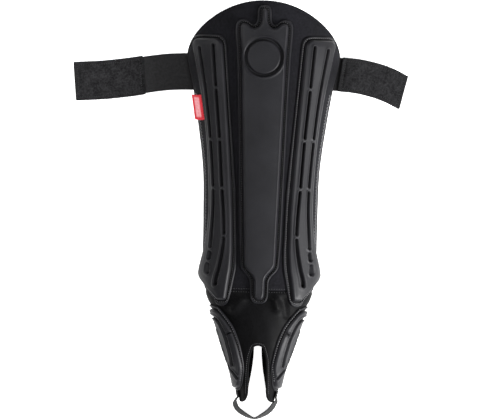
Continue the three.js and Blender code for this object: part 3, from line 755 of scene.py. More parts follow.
def tag_look():
    look = Look("red_label_weave", 0.65, 0.25, 0.05, 0.5)
    look.flat()
    twill = look.bands(0.7, "DIAGONAL", 0.3)
    fuzz = look.noise(0.9, 3)
    red = look.mix(look.mapped(fuzz, 0.3, 0.7), (0.42, 0.012, 0.02), (0.6, 0.03, 0.045))
    parts = look.node("ShaderNodeSeparateXYZ", {"Vector": look.place})
    pale = look.mapped(look.noise(0.5, 2, 0.4), 0.3, 0.7, 0.55, 0.85)
    for row in TAG_FIELD:
        off = look.math("SUBTRACT", parts.outputs[row["axis"]], row["middle"])
        inside = look.mapped(look.math("ABSOLUTE", off, 0), row["outer"], row["inner"])
        pale = look.math("MULTIPLY", pale, inside)
    look.colour(look.mix(pale, red, (0.7, 0.37, 0.39)))
    look.bump(twill, 0.12, 0.7)
    return look.material


def floor_look():
    look = Look("pale_floor", 0.9, 0.1)
    look.colour(look.mix(look.noise(3, 2), (0.9, 0.9, 0.9), (0.94, 0.94, 0.94)))
    look.shader.inputs["Emission Color"].default_value = (1, 1, 1, 1)
    look.shader.inputs["Emission Strength"].default_value = 0.8
    return look.material


NEOPRENE = neoprene_look("neoprene_knit", (0.0014, 0.0014, 0.0021), (0.0056, 0.0055, 0.0072), 0.8, 0.06)
# The ankle sleeve's knit is a darker copy of the same neoprene: its darker colour paints the shade on the
# ankle panel.
SHADED_ANKLE_NEOPRENE = neoprene_look(
    "ankle_neoprene_knit_shaded", (0.0004, 0.0004, 0.0005), (0.0016, 0.0016, 0.002), 0.5, 0.034)
PAD = pad_look()
# The pads' thread is their own dark grey. The darker thread is a copy that paints shade on the stitches of
# the left pads and in the center pad's channel; the plain thread and the edge thread are lighter copies that
# paint the highlight on the right pads' stitches.
THREAD = thread_look("thread", (0.05, 0.05, 0.052), (0.13, 0.13, 0.134))
SHADED_THREAD = thread_look("shaded_thread", (0.018, 0.018, 0.019), (0.05, 0.05, 0.052))
SLEEVE_THREAD = thread_look("sleeve_thread", (0.012, 0.012, 0.013), (0.03, 0.03, 0.032))
OVERLOCK = thread_look("overlock_thread", (0.05, 0.05, 0.052), (0.14, 0.14, 0.145))
EDGE_THREAD = thread_look("lit_edge_thread", (0.05, 0.05, 0.053), (0.13, 0.13, 0.135))
TAPE_THREAD = thread_look("tape_thread", (0.0006, 0.0006, 0.0007), (0.0018, 0.0018, 0.002))
ELASTIC_LOOK = elastic_look("woven_elastic", (0.0053, 0.0053, 0.0058), (0.021, 0.021, 0.022), 1.15)
STIRRUP_LOOK = elastic_look("stirrup_weave", (0.004, 0.004, 0.0042), (0.0128, 0.0128, 0.0132), 0.9)
TAPE_LOOK = tape_look()
TAG_LOOK = tag_look()


# Sleeves

HEM = {"inset": 2.6, "width": 0.7, "depth": 0.45, "thread_lift": -0.2, "sides_from": 376.5, "sides_to": 422}
SEAM = {"width": 1.9, "depth": 1.0, "rows": (-1.9, 1.5), "thread_lift": 0.1, "short": 0.05}
# Soft folds of the ankle panel: from and to, width and height.
FOLDS = table(
    "x_from down_from x_to down_to wide high",
    (16.8, 321, 19.2, 329.5, 4, 3.5), (-18.5, 321.5, -26.5, 331.5, 4.6, 3.3), (27.5, 322, 30, 337, 4, -1.8),
    (3, 334, 9, 352, 6, 0.35), (-8, 345, -3, 362, 6, 0.35), (12, 352, 14, 372, 5, 0.3),
)


def sleeve_lift(x, down, edge):
    """Relief of the cloth: a hem line near its edge, a valley at the seam and soft folds."""
    lift = -HEM["depth"] * bell(edge - HEM["inset"], HEM["width"])
    lift = lift - SEAM["depth"] * bell(down - SEAM_DOWN, SEAM["width"])
    flat = np.stack([x.ravel(), down.ravel()], 1)
    for fold in FOLDS:
        a = np.array([fold["x_from"], fold["down_from"]], float)
        b = np.array([fold["x_to"], fold["down_to"]], float)
        distance, _ = segment_distance(flat, a, b)
        lift = lift + fold["high"] * bell(distance, fold["wide"]).reshape(lift.shape)
    return lift


# Rows and columns of the sleeves, and how much the shin's rows crowd towards both ends.
SHIN_GRID = {"rows": 208, "columns": 132, "crowd": 0.12}
ANKLE_COLUMNS = 78
SEAM_GAP = 0.05
# The dome's edge is hemmed over this share of the way round. Elsewhere it counts as far off.
HEMMED_SHARE = 0.9
FAR = 99


def shin_sleeve():
    rows, columns = SHIN_GRID["rows"], SHIN_GRID["columns"]
    share = np.linspace(-1, 1, columns + 1)[None, :]
    last = back_edge(DOME["drop"])
    top = dome_edge(half_at(0) * np.sin(share * last)) + RIM
    t = np.linspace(0, 1, rows + 1)[:, None]
    t = t - SHIN_GRID["crowd"] * np.sin(2 * np.pi * t) / (2 * np.pi)
    down = top + (SEAM_DOWN - SEAM_GAP - top) * t
    edge_round = back_edge(down)
    half, deep, _, _ = section(down)
    speed = np.hypot(half * np.cos(edge_round), deep * np.sin(edge_round))
    around = share * (edge_round - RIM / speed)
    from_top = np.where(np.abs(share) < HEMMED_SHARE, down - top, FAR)
    from_side = (edge_round - np.abs(around)) * speed
    slope = np.hypot(1, np.gradient(top[0], wall(around[0], top[0], 0)[:, 0]))[None, :]
    edge = np.minimum(from_top / slope + RIM, from_side)
    lift = sleeve_lift(wall(around, down, 0)[..., 0], down, edge)
    outer = wall(around, down, lift).reshape(-1, 3)
    inner = wall(around, down, lift - WALL).reshape(-1, 3)
    points, faces, _ = closed_sheet(outer, inner, grid_faces(rows + 1, columns + 1), RIM, RIM_RINGS)
    piece = add_piece("shin_sleeve_cloth", above_floor(points), faces, NEOPRENE)
    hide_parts("shin_sleeve")
    return piece


ARCH_FOOT = 374.5
NOTCH_START = NOTCH_TOP - RIM
NOTCH_HALF = 2.5


def ankle_lines(down, inset):
    """Angles of the front and rear edge of the ankle sleeve, drawn in from its rims."""
    half, deep, _, _ = section(down)
    table_front = smooth(TAILS, "front")

    def drawn_in(around, distance):
        return around + distance / np.hypot(half * np.cos(around), deep * np.sin(around))

    front = drawn_in(np.radians(table_front(down)), inset)
    foot = math.radians(table_front(ARCH_FOOT)) + inset / half_at(ARCH_FOOT)
    start = NOTCH_TOP - inset
    share = np.clip((down - start) / (ARCH_FOOT - start), 0, 1)
    front = np.where(down < ARCH_FOOT, foot * np.sqrt(1 - (1 - share) ** 2), front)
    rear = np.radians(np.minimum(smooth(TAILS, "rear")(down), wrap_at(down)))
    return front, np.maximum(drawn_in(rear, -inset), front + 0.01)


def ankle_sleeve():
    columns = ANKLE_COLUMNS
    above = np.concatenate([np.arange(SEAM_DOWN + SEAM_GAP, NOTCH_START, 1.0), [NOTCH_START]])
    below = NOTCH_START + np.array([0.05, 0.15, 0.35, 0.65, 1.05, 1.6, 2.3, 3.1])
    below = np.concatenate([below, np.arange(NOTCH_START + 4, TAIL_END - 6, 1.0)])
    tip = TAIL_END - RIM * 0.5 - 5.4 * np.array([1, 0.75, 0.52, 0.34, 0.2, 0.1, 0.04, 0])
    downs = np.concatenate([above, below, tip])
    # The middle line is there twice, once for each tail, and is joined above the notch.
    share = np.linspace(0, 1, columns + 1)
    share = np.concatenate([share[::-1], share])
    side = np.repeat([-1, 1], columns + 1)
    down = np.repeat(downs[:, None], len(share), 1)
    front, rear = (line[:, None] for line in ankle_lines(downs, RIM))
    half, deep, _, _ = section(downs[:, None])
    around = front + (rear - front) * share
    x = half * np.sin(around)
    from_front = (around - front) * np.hypot(half * np.cos(front), deep * np.sin(front)) + RIM
    from_top = np.hypot(np.maximum(x - NOTCH_HALF, 0), NOTCH_START - down) + RIM
    lift = sleeve_lift(side * x, down, np.where(down <= NOTCH_START, from_top, from_front))
    number = np.arange(down.size).reshape(down.shape)
    joined = downs <= NOTCH_START
    number[joined, columns] = number[joined, columns + 1]
    cells = [face for face in grid_faces(*down.shape) if face[0] % len(share) != columns]
    used, faces = renumbered([number.ravel()[face].tolist() for face in cells])
    outer = wall(side * around, down, lift).reshape(-1, 3)[used]
    inner = wall(side * around, down, lift - WALL).reshape(-1, 3)[used]
    points, faces, _ = closed_sheet(outer, inner, faces, RIM, RIM_RINGS)
    # The ankle sleeve takes the darker copy of the knit, which paints the panel's shade.
    piece = add_piece("ankle_sleeve_cloth", above_floor(points), faces, SHADED_ANKLE_NEOPRENE)
    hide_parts("ankle_sleeve")
    return piece


# Pads

STITCH_RAISE = 0.25
# Sewn channel in the flange beside a pad's wall.
CHANNEL = {"depth": 1.8, "away": 0.55, "width": 0.9, "least": 0.35}
ANKLE_CHANNEL = {"depth": 1.2, "away": 0.2, "width": 0.6, "least": 0.35}
# Bead of the flange, and the wall's rise with the lip on its shoulder.
BEAD = {"base": 0.45, "turn": 1.1, "high": 0.6, "at": 1.3, "width": 0.7}
SHOULDER = {"run": 0.8, "steep": 2.2, "lip": 0.3, "lip_at": 1.5, "lip_width": 0.8}
# How far in from its edge a pad's face rolls down, and by how much. The center pad's left side is softer.
SIDE_ROLL = {"reach": 7, "drop": 1.2}
ANKLE_ROLL = {"reach": 5, "drop": 0.8}
CENTER_ROLL = {"reach": 2.4, "drop": 0.8, "soft_reach": 1.8, "soft_drop": 0.6, "soft_from": -12, "soft_to": 2}
# Section of a groove and of a pit, in shares of half its width, with the lip's height in millimetres.
GROOVE_FORM = {"floor": 0.4, "lip": 0.75, "lip_at": 1.5, "lip_width": 0.38}
PIT_FORM = {"rim": 1.04, "steep": 2.4, "lip": 0.5, "lip_at": 1.26, "lip_width": 0.2}
LEAST_FOAM = 0.45


def pad_profile(face, inside_face, inside_edge, reach, drop, channel=CHANNEL):
    """Height of a moulded pad: rounded bead, sewn channel beside the wall, wall, lip and rolled shoulder."""
    edge = np.clip(inside_edge / BEAD["turn"], 0, 1)
    flange = BEAD["base"] + (FLANGE - BEAD["high"]) * np.sqrt(1 - (1 - edge) ** 2)
    flange = flange + BEAD["high"] * bell(inside_edge - BEAD["at"], BEAD["width"])
    beside = bell(inside_face + WALL_RUN + channel["away"], channel["width"])
    flange = np.maximum(flange - channel["depth"] * beside, channel["least"])
    t = np.clip((inside_face + WALL_RUN) / (WALL_RUN + SHOULDER["run"]), 0, 1)
    rise = 1 - (1 - t) ** SHOULDER["steep"]
    roll = np.clip(inside_face / reach, 0, 1)
    lip = SHOULDER["lip"] * bell(inside_face - SHOULDER["lip_at"], SHOULDER["lip_width"])
    top = face - drop * (1 - roll) ** 2 + lip
    return flange + (top - flange) * rise


def groove(distance, half, depth):
    """A moulded groove with steep walls and raised lips."""
    share = distance / half
    lip = GROOVE_FORM["lip"] * bell(share - GROOVE_FORM["lip_at"], GROOVE_FORM["lip_width"])
    return lip - depth * (1 - ramp(GROOVE_FORM["floor"], 1.0, share))


def pit(distance, half, depth):
    """A moulded hollow, round at the bottom, with a raised lip."""
    share = distance / half
    lip = PIT_FORM["lip"] * bell(share - PIT_FORM["lip_at"], PIT_FORM["lip_width"])
    return lip - depth * (1 - np.clip(share / PIT_FORM["rim"], 0, 1) ** PIT_FORM["steep"])


def close_ends(start, end, spacing):
    """Rows from one end to another, closer together at both ends."""
    near = spacing * np.cumsum([0.08, 0.15, 0.25, 0.4, 0.6, 0.8])
    first, last = start + near[-1] + spacing, end - near[-1] - spacing
    inner = np.linspace(first, last, int((end - start) / spacing) - 10)
    return np.concatenate([[start], start + near, inner, end - near[::-1], [end]])


def mirrored_loop(right):
    """A closed outline from its right half, given from the top of the middle to the bottom."""
    left = right[::-1] * np.array([-1, 1])
    loop = np.concatenate([right, left])
    keep = np.linalg.norm(loop - np.roll(loop, 1, axis=0), axis=1) > 1e-6
    return loop[keep]


class Pad:
    """A moulded pad, laid out flat between the outline of its raised face and that of its flange."""

    def insides(self, flat):
        """How far flat places lie inside both outlines."""
        return inside_distance(flat, self.face_loop), inside_distance(flat, self.edge_loop)

    def add_foam(self, node, flat, faces):
        """The closed pad, in the place of a node."""
        outer = self.wall_points(flat, self.lift(flat))
        inner = self.wall_points(flat, np.full(len(flat), PAD_CLEAR))
        points, faces, _ = closed_sheet(outer, inner, faces)
        piece = add_piece(f"{node}_foam", points, faces, PAD)
        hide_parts(node)
        return piece

    def seam(self, offset):
        """A sewn line round the raised face, with the normals along it."""
        flat = offset_loop(self.face_loop, WALL_RUN + offset)
        flat = np.concatenate([flat, flat[:1]])
        return self.wall_points(flat, self.lift(flat) + STITCH_RAISE), self.normals(flat)


# Columns of each half of the center pad, where its rows start, and how far apart they are.
CENTER_GRID = {"face": 30, "flange": 9, "top": 5.0, "top_step": 0.6, "step": 0.7}


class CenterPad(Pad):
    def __init__(self):
        self.flange = smooth(CENTER_PAD, "flange")
        self.face = smooth(CENTER_PAD, "face")
        self.edge_loop = self.loop(FLANGE_TOP, self.flange, CENTER_END["edge"])
        self.face_loop = self.loop(FACE_TOP, self.face, CENTER_END["face"])

    def loop(self, top, side, end):
        curve = spline([[row["x"], row["down"]] for row in top], 0.6)
        downs = np.arange(SCALLOP_END + 1, end, 1.0)
        sides = np.stack([side(downs), downs], 1)
        foot = np.array([[side(end), end], [0, end]])
        return mirrored_loop(np.concatenate([curve, sides, foot]))

    def lift(self, flat):
        soft = 1 - ramp(CENTER_ROLL["soft_from"], CENTER_ROLL["soft_to"], flat[:, 0])
        reach = CENTER_ROLL["reach"] + CENTER_ROLL["soft_reach"] * soft
        drop = CENTER_ROLL["drop"] + CENTER_ROLL["soft_drop"] * soft
        lift = pad_profile(CENTER_FACE, *self.insides(flat), reach, drop)
        radius = np.hypot(flat[:, 0], flat[:, 1] - BADGE["down"])
        off = radius - BADGE["radius"]
        ring = -BADGE["depth"] * (1 - ramp(*BADGE["floor"], np.abs(off) / (BADGE["width"] / 2)))
        lip = BADGE["lip"] * bell(off - BADGE["lip_out"], BADGE["lip_width"])
        disc = -BADGE["sunk"] * (1 - ramp(*BADGE["disc"], radius))
        return lift + ring + lip + disc

    def wall_points(self, flat, lift):
        return wall(round_seen(flat[:, 0], flat[:, 1], lift), flat[:, 1], lift)

    def normals(self, flat):
        return wall_normal(round_seen(flat[:, 0], flat[:, 1], FLANGE), flat[:, 1])

    def build(self):
        inner, outer = CENTER_GRID["face"], CENTER_GRID["flange"]
        t = np.concatenate([np.linspace(0, 1, inner + 1) ** 0.85, 1 + np.linspace(0, 1, outer + 1)[1:]])
        t = np.concatenate([-t[:0:-1], t])
        downs = np.concatenate([
            np.arange(CENTER_GRID["top"], SCALLOP_END, CENTER_GRID["top_step"]),
            np.arange(SCALLOP_END, CENTER_END["edge"], CENTER_GRID["step"]), [CENTER_END["edge"]],
        ])
        face = self.face(downs)[:, None]
        flange = self.flange(downs)[:, None]
        size = np.abs(t)[None, :]
        x = np.sign(t) * (np.minimum(size, 1) * face + np.maximum(size - 1, 0) * (flange - face))
        places = np.stack([x, np.repeat(downs[:, None], len(t), 1)], -1)
        field = np.where(places[..., 1] > SCALLOP_END - 1, 1.0, 0.0)
        top = places[..., 1] <= SCALLOP_END - 1
        field[top] = inside_distance(places[top], self.edge_loop)
        flat, faces = clipped_grid(places, field)
        return self.add_foam("center_pad", flat, faces)


class WrapPad(Pad):
    """A pad that bends round the side of the guard, laid out by distance round the sleeve."""

    def __init__(self, side):
        self.side = side

    def wall_points(self, flat, lift):
        points = wall(arc_round(flat[:, 0], flat[:, 1]), flat[:, 1], lift)
        return points * np.array([self.side, 1, 1])

    def normals(self, flat):
        return wall_normal(arc_round(flat[:, 0], flat[:, 1]), flat[:, 1]) * np.array([self.side, 1, 1])

    def set_loops(self, face_left, face_right, left, right, ends):
        """The outlines of the raised face and of the whole pad."""
        self.face_loop = rounded_ends(
            face_left, face_right, ends["face"], ends["low_face"], ends["corner"], ends["low_corner"])
        self.edge_loop = rounded_ends(left, right, ends["edge"], ends["low_edge"], EDGE_CORNER, EDGE_CORNER)

    def line(self, rows, column, lift):
        """A line of the pad as distance round the sleeve, from its distance as the front is seen."""
        downs = np.arange(rows[0]["down"], rows[-1]["down"] + 0.25, 0.5)
        around = round_seen(smooth(rows, column)(downs), downs, np.full(len(downs), lift))
        distance = arc(around, downs)
        return lambda down: np.interp(down, downs, distance)

    def build_grid(self, node, lines, counts, downs):
        """The pad on a grid with so many columns from each line to the next."""
        columns = [lines[0](downs)]
        for a, b, count in zip(lines, lines[1:], counts):
            start, end = a(downs), b(downs)
            columns += [start + (end - start) * k / count for k in range(1, count + 1)]
        places = np.stack([np.stack(columns, 1), np.repeat(downs[:, None], len(columns), 1)], -1)
        flat = places.reshape(-1, 2)
        faces = grid_faces(*places.shape[:2])
        if self.side < 0:
            faces = [face[::-1] for face in faces]
        return self.add_foam(node, flat, faces)


SIDE_GRID = {"columns": (9, 13, 19, 13, 9), "step": 0.72}
ANKLE_GRID = {"columns": (9, 62, 9), "step": 0.6}
FRONT_SEAM = {"after": 3, "before": 10, "step": 0.8}


class SidePad(WrapPad):
    def __init__(self, side):
        super().__init__(side)
        self.flange = self.line(SIDE_PAD, "flange", FLANGE)
        self.lines = {
            name: self.line(SIDE_PAD, name, SIDE_FACE) for name in ("face", "inner", "outer", "edge")}
        self.rear = lambda down: self.lines["edge"](down) + (WALL_RUN + FLANGE_WIDTH) * self.taper(down)
        self.set_loops(self.lines["face"], self.lines["edge"], self.flange, self.rear, SIDE_ENDS)

    def taper(self, down):
        """The share of its width that the rear flange has, less at both ends."""
        near = np.minimum(down - SIDE_ENDS["edge"], SIDE_ENDS["low_edge"] - down)
        near = np.clip(near / SIDE_TAPER["run"], 0, 1)
        return SIDE_TAPER["least"] + (1 - SIDE_TAPER["least"]) * np.sqrt(1 - (1 - near) ** 2)

    def lift(self, flat):
        lift = pad_profile(SIDE_FACE, *self.insides(flat), **SIDE_ROLL)
        for rows, shape, depth in ((SIDE_GROOVES, groove, GROOVE_DEPTH), (SIDE_PITS, pit, PIT_DEPTH)):
            for row in rows:
                ends = np.array([row["from"] + row["wide_from"], row["to"] - row["wide_to"]])
                downs = np.linspace(*ends, 14)
                path = np.stack([self.lines[row["line"]](downs), downs], 1)
                distance, passed = path_distance(flat, path)
                half = row["wide_from"] + (row["wide_to"] - row["wide_from"]) * passed
                lift = lift + shape(distance, half, depth)
        return np.maximum(lift, LEAST_FOAM)

    def build(self, node):
        lines = [self.flange, *self.lines.values(), self.rear]
        downs = close_ends(SIDE_ENDS["edge"], SIDE_ENDS["low_edge"], SIDE_GRID["step"])
        return self.build_grid(node, lines, SIDE_GRID["columns"], downs)


class AnklePad(WrapPad):
    def __init__(self, side):
        super().__init__(side)
        self.front = self.angle_line("front")
        self.rear = self.angle_line("rear")
        rim = smooth(ANKLE_PAD, "rim")
        self.face_front = lambda down: self.front(down) + rim(down)
        self.face_rear = lambda down: self.rear(down) - FLANGE_WIDTH - WALL_RUN
        self.set_loops(self.face_front, self.face_rear, self.front, self.rear, ANKLE_ENDS)
        arch = np.array([[arc(math.radians(row["round"]), row["down"]), row["down"]] for row in ARCH], float)
        paths = {
            "arch": spline(arch, PATH_STEP), "arch_end": self.seen_path(ARCH_END),
            "notch": self.seen_path(NOTCH), "crease": self.seen_path(CREASE),
        }
        self.grooves = [(path, *ANKLE_GROOVES[name]) for name, path in paths.items()]

    def angle_line(self, column):
        """A line of the pad as distance round the sleeve, from its angle."""
        downs = np.arange(ANKLE_PAD[0]["down"], ANKLE_PAD[-1]["down"] + 0.25, 0.5)
        distance = arc(np.radians(smooth(ANKLE_PAD, column)(downs)), downs)
        return lambda down: np.interp(down, downs, distance)

    def front_seam(self, inset):
        """A sewn line along the front edge, with the normals along it."""
        start = ANKLE_ENDS["edge"] + FRONT_SEAM["after"]
        stop = ANKLE_ENDS["low_edge"] - FRONT_SEAM["before"]
        downs = np.arange(start, stop, FRONT_SEAM["step"])
        flat = np.stack([self.front(downs) + inset, downs], 1)
        return self.wall_points(flat, self.lift(flat)), self.normals(flat)

    def seen_path(self, rows):
        """A groove's path, from the places where the front shows it."""
        down = np.array([row["down"] for row in rows], float)
        x = np.array([row["x"] for row in rows], float)
        around = round_seen(x, down, np.full(len(down), ANKLE_FACE))
        return spline(np.stack([arc(around, down), down], 1), PATH_STEP)

    def lift(self, flat):
        inside_face, inside_edge = self.insides(flat)
        lift = pad_profile(ANKLE_FACE, inside_face, inside_edge, **ANKLE_ROLL, channel=ANKLE_CHANNEL)
        for path, half, depth in self.grooves:
            distance, _ = path_distance(flat, path)
            lift = lift + groove(distance, half, depth) * ramp(-1.5, 1, inside_face)
        return np.maximum(lift, LEAST_FOAM)

    def build(self, node):
        downs = close_ends(ANKLE_ENDS["edge"], ANKLE_ENDS["low_edge"], ANKLE_GRID["step"])
        lines = [self.front, self.face_front, self.face_rear, self.rear]
        return self.build_grid(node, lines, ANKLE_GRID["columns"], downs)


# Straps

STRAP_WAVES = table("high length start", (0.35, 11.0, 0), (0.25, 4.7, 1))
# From its root, how far an elastic takes to turn and to lie flat. Columns across it, and places along it.
STRAP_LAY = {
    "turn": 8, "flat": 30, "foot": 1.2, "columns": 15, "step": 4.0, "fine": 0.6, "spacing": 1.2, "root": 20,
}


def strap_place(strap, out, across, width):
    """Where a strap has a place, from its reach out and its share of the width across."""
    middle = smooth(strap["band"], "middle", "out")(out)
    lean = np.radians(smooth(strap["band"], "lean", "out")(out))
    x = out - across * width * np.sin(lean)
    return strap["side"] * x, middle + across * width * np.cos(lean)


def strap_wave(out):
    """How far a strap stands off the floor as it lies."""
    return sum(row["high"] * (1 - np.cos(out / row["length"] + row["start"])) / 2 for row in STRAP_WAVES)


def strap_elastic(name):
    strap = STRAPS[name]
    side = strap["side"]
    width_at = smooth(strap["band"], "width", "out")
    start, end = strap["band"][0]["out"], strap["band"][-1]["out"]
    inside = -WALL - SEW_GAP - ELASTIC / 2
    turned, settled = start + STRAP_LAY["turn"], start + STRAP_LAY["flat"]
    outs = np.arange(turned, end, STRAP_LAY["step"])
    lines = []
    shares = np.linspace(-0.5, 0.5, STRAP_LAY["columns"])
    for across in shares:
        down = strap["band"][0]["middle"] + across * width_at(start)
        _, deep, base, _ = section(down)
        path = [wall(side * math.acos((height + base) / deep), down, inside) for height in TAB_HEIGHTS]
        foot = wall(side * back_edge(down), down, inside)
        path.append(np.array([foot[0] + side * STRAP_LAY["foot"], down, ELASTIC / 2 + STACK_GAP]))
        for out in outs:
            x, place = strap_place(strap, out, across, width_at(out))
            height = ELASTIC / 2 + strap_wave(out) * ramp(turned, settled, out)
            path.append(np.array([x, place, height]))
        lines.append(np.array(path))
    count = int((end - start + STRAP_LAY["root"]) / STRAP_LAY["spacing"])
    middle = []
    for line in lines:
        fine = spline(line, STRAP_LAY["fine"])
        run = path_run(fine)
        middle.append(along_path(np.linspace(0, run[-1], count), run, fine))
    middle = np.stack(middle, 1)
    middle[..., 2] = np.maximum(middle[..., 2], ELASTIC / 2)
    if side > 0:
        middle = middle[:, ::-1]
    run = path_run(middle[:, len(shares) // 2])
    uv = np.stack(np.broadcast_arrays(run[:, None], shares * width_at(start)), -1)
    piece = add_strip(f"strap_{name}_elastic_band", middle, ELASTIC, ELASTIC_LOOK, uv)
    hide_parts(f"strap_{name}_elastic")
    return piece


TAPE_STITCH = {"inset": 3.0, "pitch": 2.4, "length": 1.5, "radius": 0.42, "sunk": 0.28}
# Relief of a tape: its frayed edge, the sewn line, the fold at its end and the puff between.
TAPE_RELIEF = {
    "grid": 0.9, "fray": 0.25, "sewn": 0.35, "sewn_width": 0.8, "fold": 0.5, "fold_width": 0.7,
    "puff": 0.25, "puff_run": 4,
}


def tape_height(out):
    """Height of a tape's middle, lying on its elastic."""
    return ELASTIC + STACK_GAP + TAPE / 2 + strap_wave(out)


def strap_tape(name):
    strap = STRAPS[name]
    start, end, width = (strap["tape"][key] for key in ("from", "to", "width"))
    outs = np.linspace(start, end, int((end - start) / TAPE_RELIEF["grid"]))
    shares = np.linspace(-0.5, 0.5, int(width / TAPE_RELIEF["grid"]))
    out, across = np.meshgrid(outs, shares, indexing="ij")
    fray = TAPE_RELIEF["fray"] * np.sin(out * 1.9) * np.sin(out * 0.37 + 1)
    x, down = strap_place(strap, out, across, width + fray)
    inset = np.minimum(np.minimum(out - start, end - out), (0.5 - np.abs(across)) * width)
    inside = inset - TAPE_STITCH["inset"]
    sewn = TAPE_RELIEF["sewn"] * bell(inside, TAPE_RELIEF["sewn_width"])
    fold = TAPE_RELIEF["fold"] * bell(out - strap["tape"]["fold"], TAPE_RELIEF["fold_width"])
    puff = TAPE_RELIEF["puff"] * ramp(0, TAPE_RELIEF["puff_run"], inside)
    middle = np.stack([x, down, tape_height(out) - sewn - fold + puff], -1)
    if strap["side"] > 0:
        middle = middle[:, ::-1]
    uv = np.stack([out, across * width], -1)
    piece = add_strip(f"strap_{name}_tape_band", middle, TAPE, TAPE_LOOK, uv)
    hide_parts(f"strap_{name}_tape")
    inset = TAPE_STITCH["inset"]
    share = 0.5 - inset / width
    sides = [
        [(o, -share) for o in np.arange(start + inset, end - inset, 1.0)],
        [(end - inset, a) for a in np.linspace(-share, share, 30)],
        [(o, share) for o in np.arange(end - inset, start + inset, -1.0)],
        [(start + inset, a) for a in np.linspace(share, -share, 30)],
    ]
    runs = []
    for run in sides:
        run = np.array(run)
        x, down = strap_place(strap, run[:, 0], run[:, 1], width)
        z = tape_height(run[:, 0]) + TAPE / 2 - TAPE_STITCH["sunk"]
        up = np.tile([0.0, 0.0, 1.0], (len(run), 1))
        runs.append((np.stack([x, down, z], 1), up, *(TAPE_STITCH[k] for k in ("pitch", "length", "radius"))))
    threads = add_stitches(f"strap_{name}_tape_stitches", runs, TAPE_THREAD)
    return piece, threads


# Stirrup and tag

UP_WEIGHT = 10


def stirrup():
    root = math.radians(STIRRUP["root"])

    def half(side):
        stations = []
        for down in STIRRUP_ROOTS:
            wide, deep, _, _ = section(down)
            middle = wall(side * root, down, SEW_GAP + STIRRUP["thick"] / 2)
            up = np.array([-side * wide * math.cos(root), 0, deep * math.sin(root)])
            stations.append((middle, up / np.linalg.norm(up)))
        for i, row in enumerate(STIRRUP_PATH):
            before = STIRRUP_PATH[max(i - 1, 0)]
            after = STIRRUP_PATH[min(i + 1, len(STIRRUP_PATH) - 1)]
            inward = np.array([side * (before["down"] - after["down"]), after["out"] - before["out"]])
            inward /= np.linalg.norm(inward)
            lean = math.radians(row["lean"])
            up = np.array([*(inward * math.sin(lean)), math.cos(lean)])
            stations.append((np.array([side * row["out"] + row["shift"], row["down"], row["up"]]), up))
        return stations

    stations = [*half(1), *half(-1)[::-1][1:]]
    middles = np.array([station[0] for station in stations])
    ups = np.array([station[1] for station in stations])
    both = spline(np.concatenate([middles, ups * UP_WEIGHT], 1), STIRRUP["step"])
    middles, ups = both[:, :3], both[:, 3:] / np.linalg.norm(both[:, 3:], axis=1, keepdims=True)
    shares = np.linspace(-0.5, 0.5, STIRRUP["columns"])
    middle = middles[:, None, :] + ups[:, None, :] * (shares * STIRRUP["width"])[None, :, None]
    uv = np.stack(np.broadcast_arrays(path_run(middles)[:, None], shares * STIRRUP["width"]), -1)
    piece = add_strip("stirrup_band", middle, STIRRUP["thick"], STIRRUP_LOOK, uv)
    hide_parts("stirrup")
    return piece


def side_tag():
    edge_at = smooth(SIDE_PAD, "edge")
    slope = math.radians(TAG["droop"])
    downs = np.linspace(TAG["from"], TAG["to"], 27)
    reach = np.linspace(TAG["reach"], 0, 15)
    half, deep, _, _ = section(downs)
    edge = round_seen(edge_at(downs), downs, np.full(len(downs), SIDE_FACE))
    edge = edge + TAG["standoff"] / np.hypot(half * np.cos(edge), deep * np.sin(edge))
    root = wall(-edge, downs, FLANGE + SEW_GAP + TAG["thick"] / 2)
    curl = TAG["curl"] * (reach / TAG["reach"]) ** 2
    x = root[:, :1] - reach[None, :] * math.cos(slope)
    z = root[:, 2:] - reach[None, :] * math.sin(slope) + curl[None, :]
    down = np.repeat(downs[:, None], len(reach), 1) + 0.5 * np.sin(reach / 3)[None, :]
    middle = np.stack([x, down, z], -1)
    uv = np.stack(np.broadcast_arrays((downs - TAG["from"])[:, None], reach[None, :]), -1)
    piece = add_strip("side_tag_label", middle, TAG["thick"], TAG_LOOK, uv)
    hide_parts("side_tag")
    return piece


shin = shin_sleeve()
ankle = ankle_sleeve()

# Stitches by their pitch, length and radius, and how far they lie from a pad's wall or edge.
PAD_STITCH = (2.5, 1.1, 0.5)
EDGE_STITCH = (2.6, 1.0, 0.6)
OVERLOCK_STITCH = (1.8, 1.5, 0.45)
SEAM_STITCH = (2.7, 1.2, 0.36)
HEM_STITCH = (2.2, 1.6, 0.42)
STITCH_AWAY = {"center": 1.2, "side": 1.7, "ankle": 1.7}
OVERLOCK_RUN = {"from": 100, "to": 266, "inset": 2.4, "pitch": 3.4, "reach": 4.4, "lift": 0.2}

# The left pads' stitches take the darker thread, which paints the shade they lie in; the right pads' stitches
# take lighter thread, which paints the highlight they catch.
SIDE_THREADS_BY_LIGHT = {"left": SHADED_THREAD, "right": THREAD}
EDGE_THREADS_BY_LIGHT = {"left": SHADED_THREAD, "right": EDGE_THREAD}

center = CenterPad()
center.build()
# The center pad's stitches take the darker thread too, which paints the shade of their channel.
add_stitches("center_pad_stitches", [(*center.seam(STITCH_AWAY["center"]), *PAD_STITCH)], SHADED_THREAD)

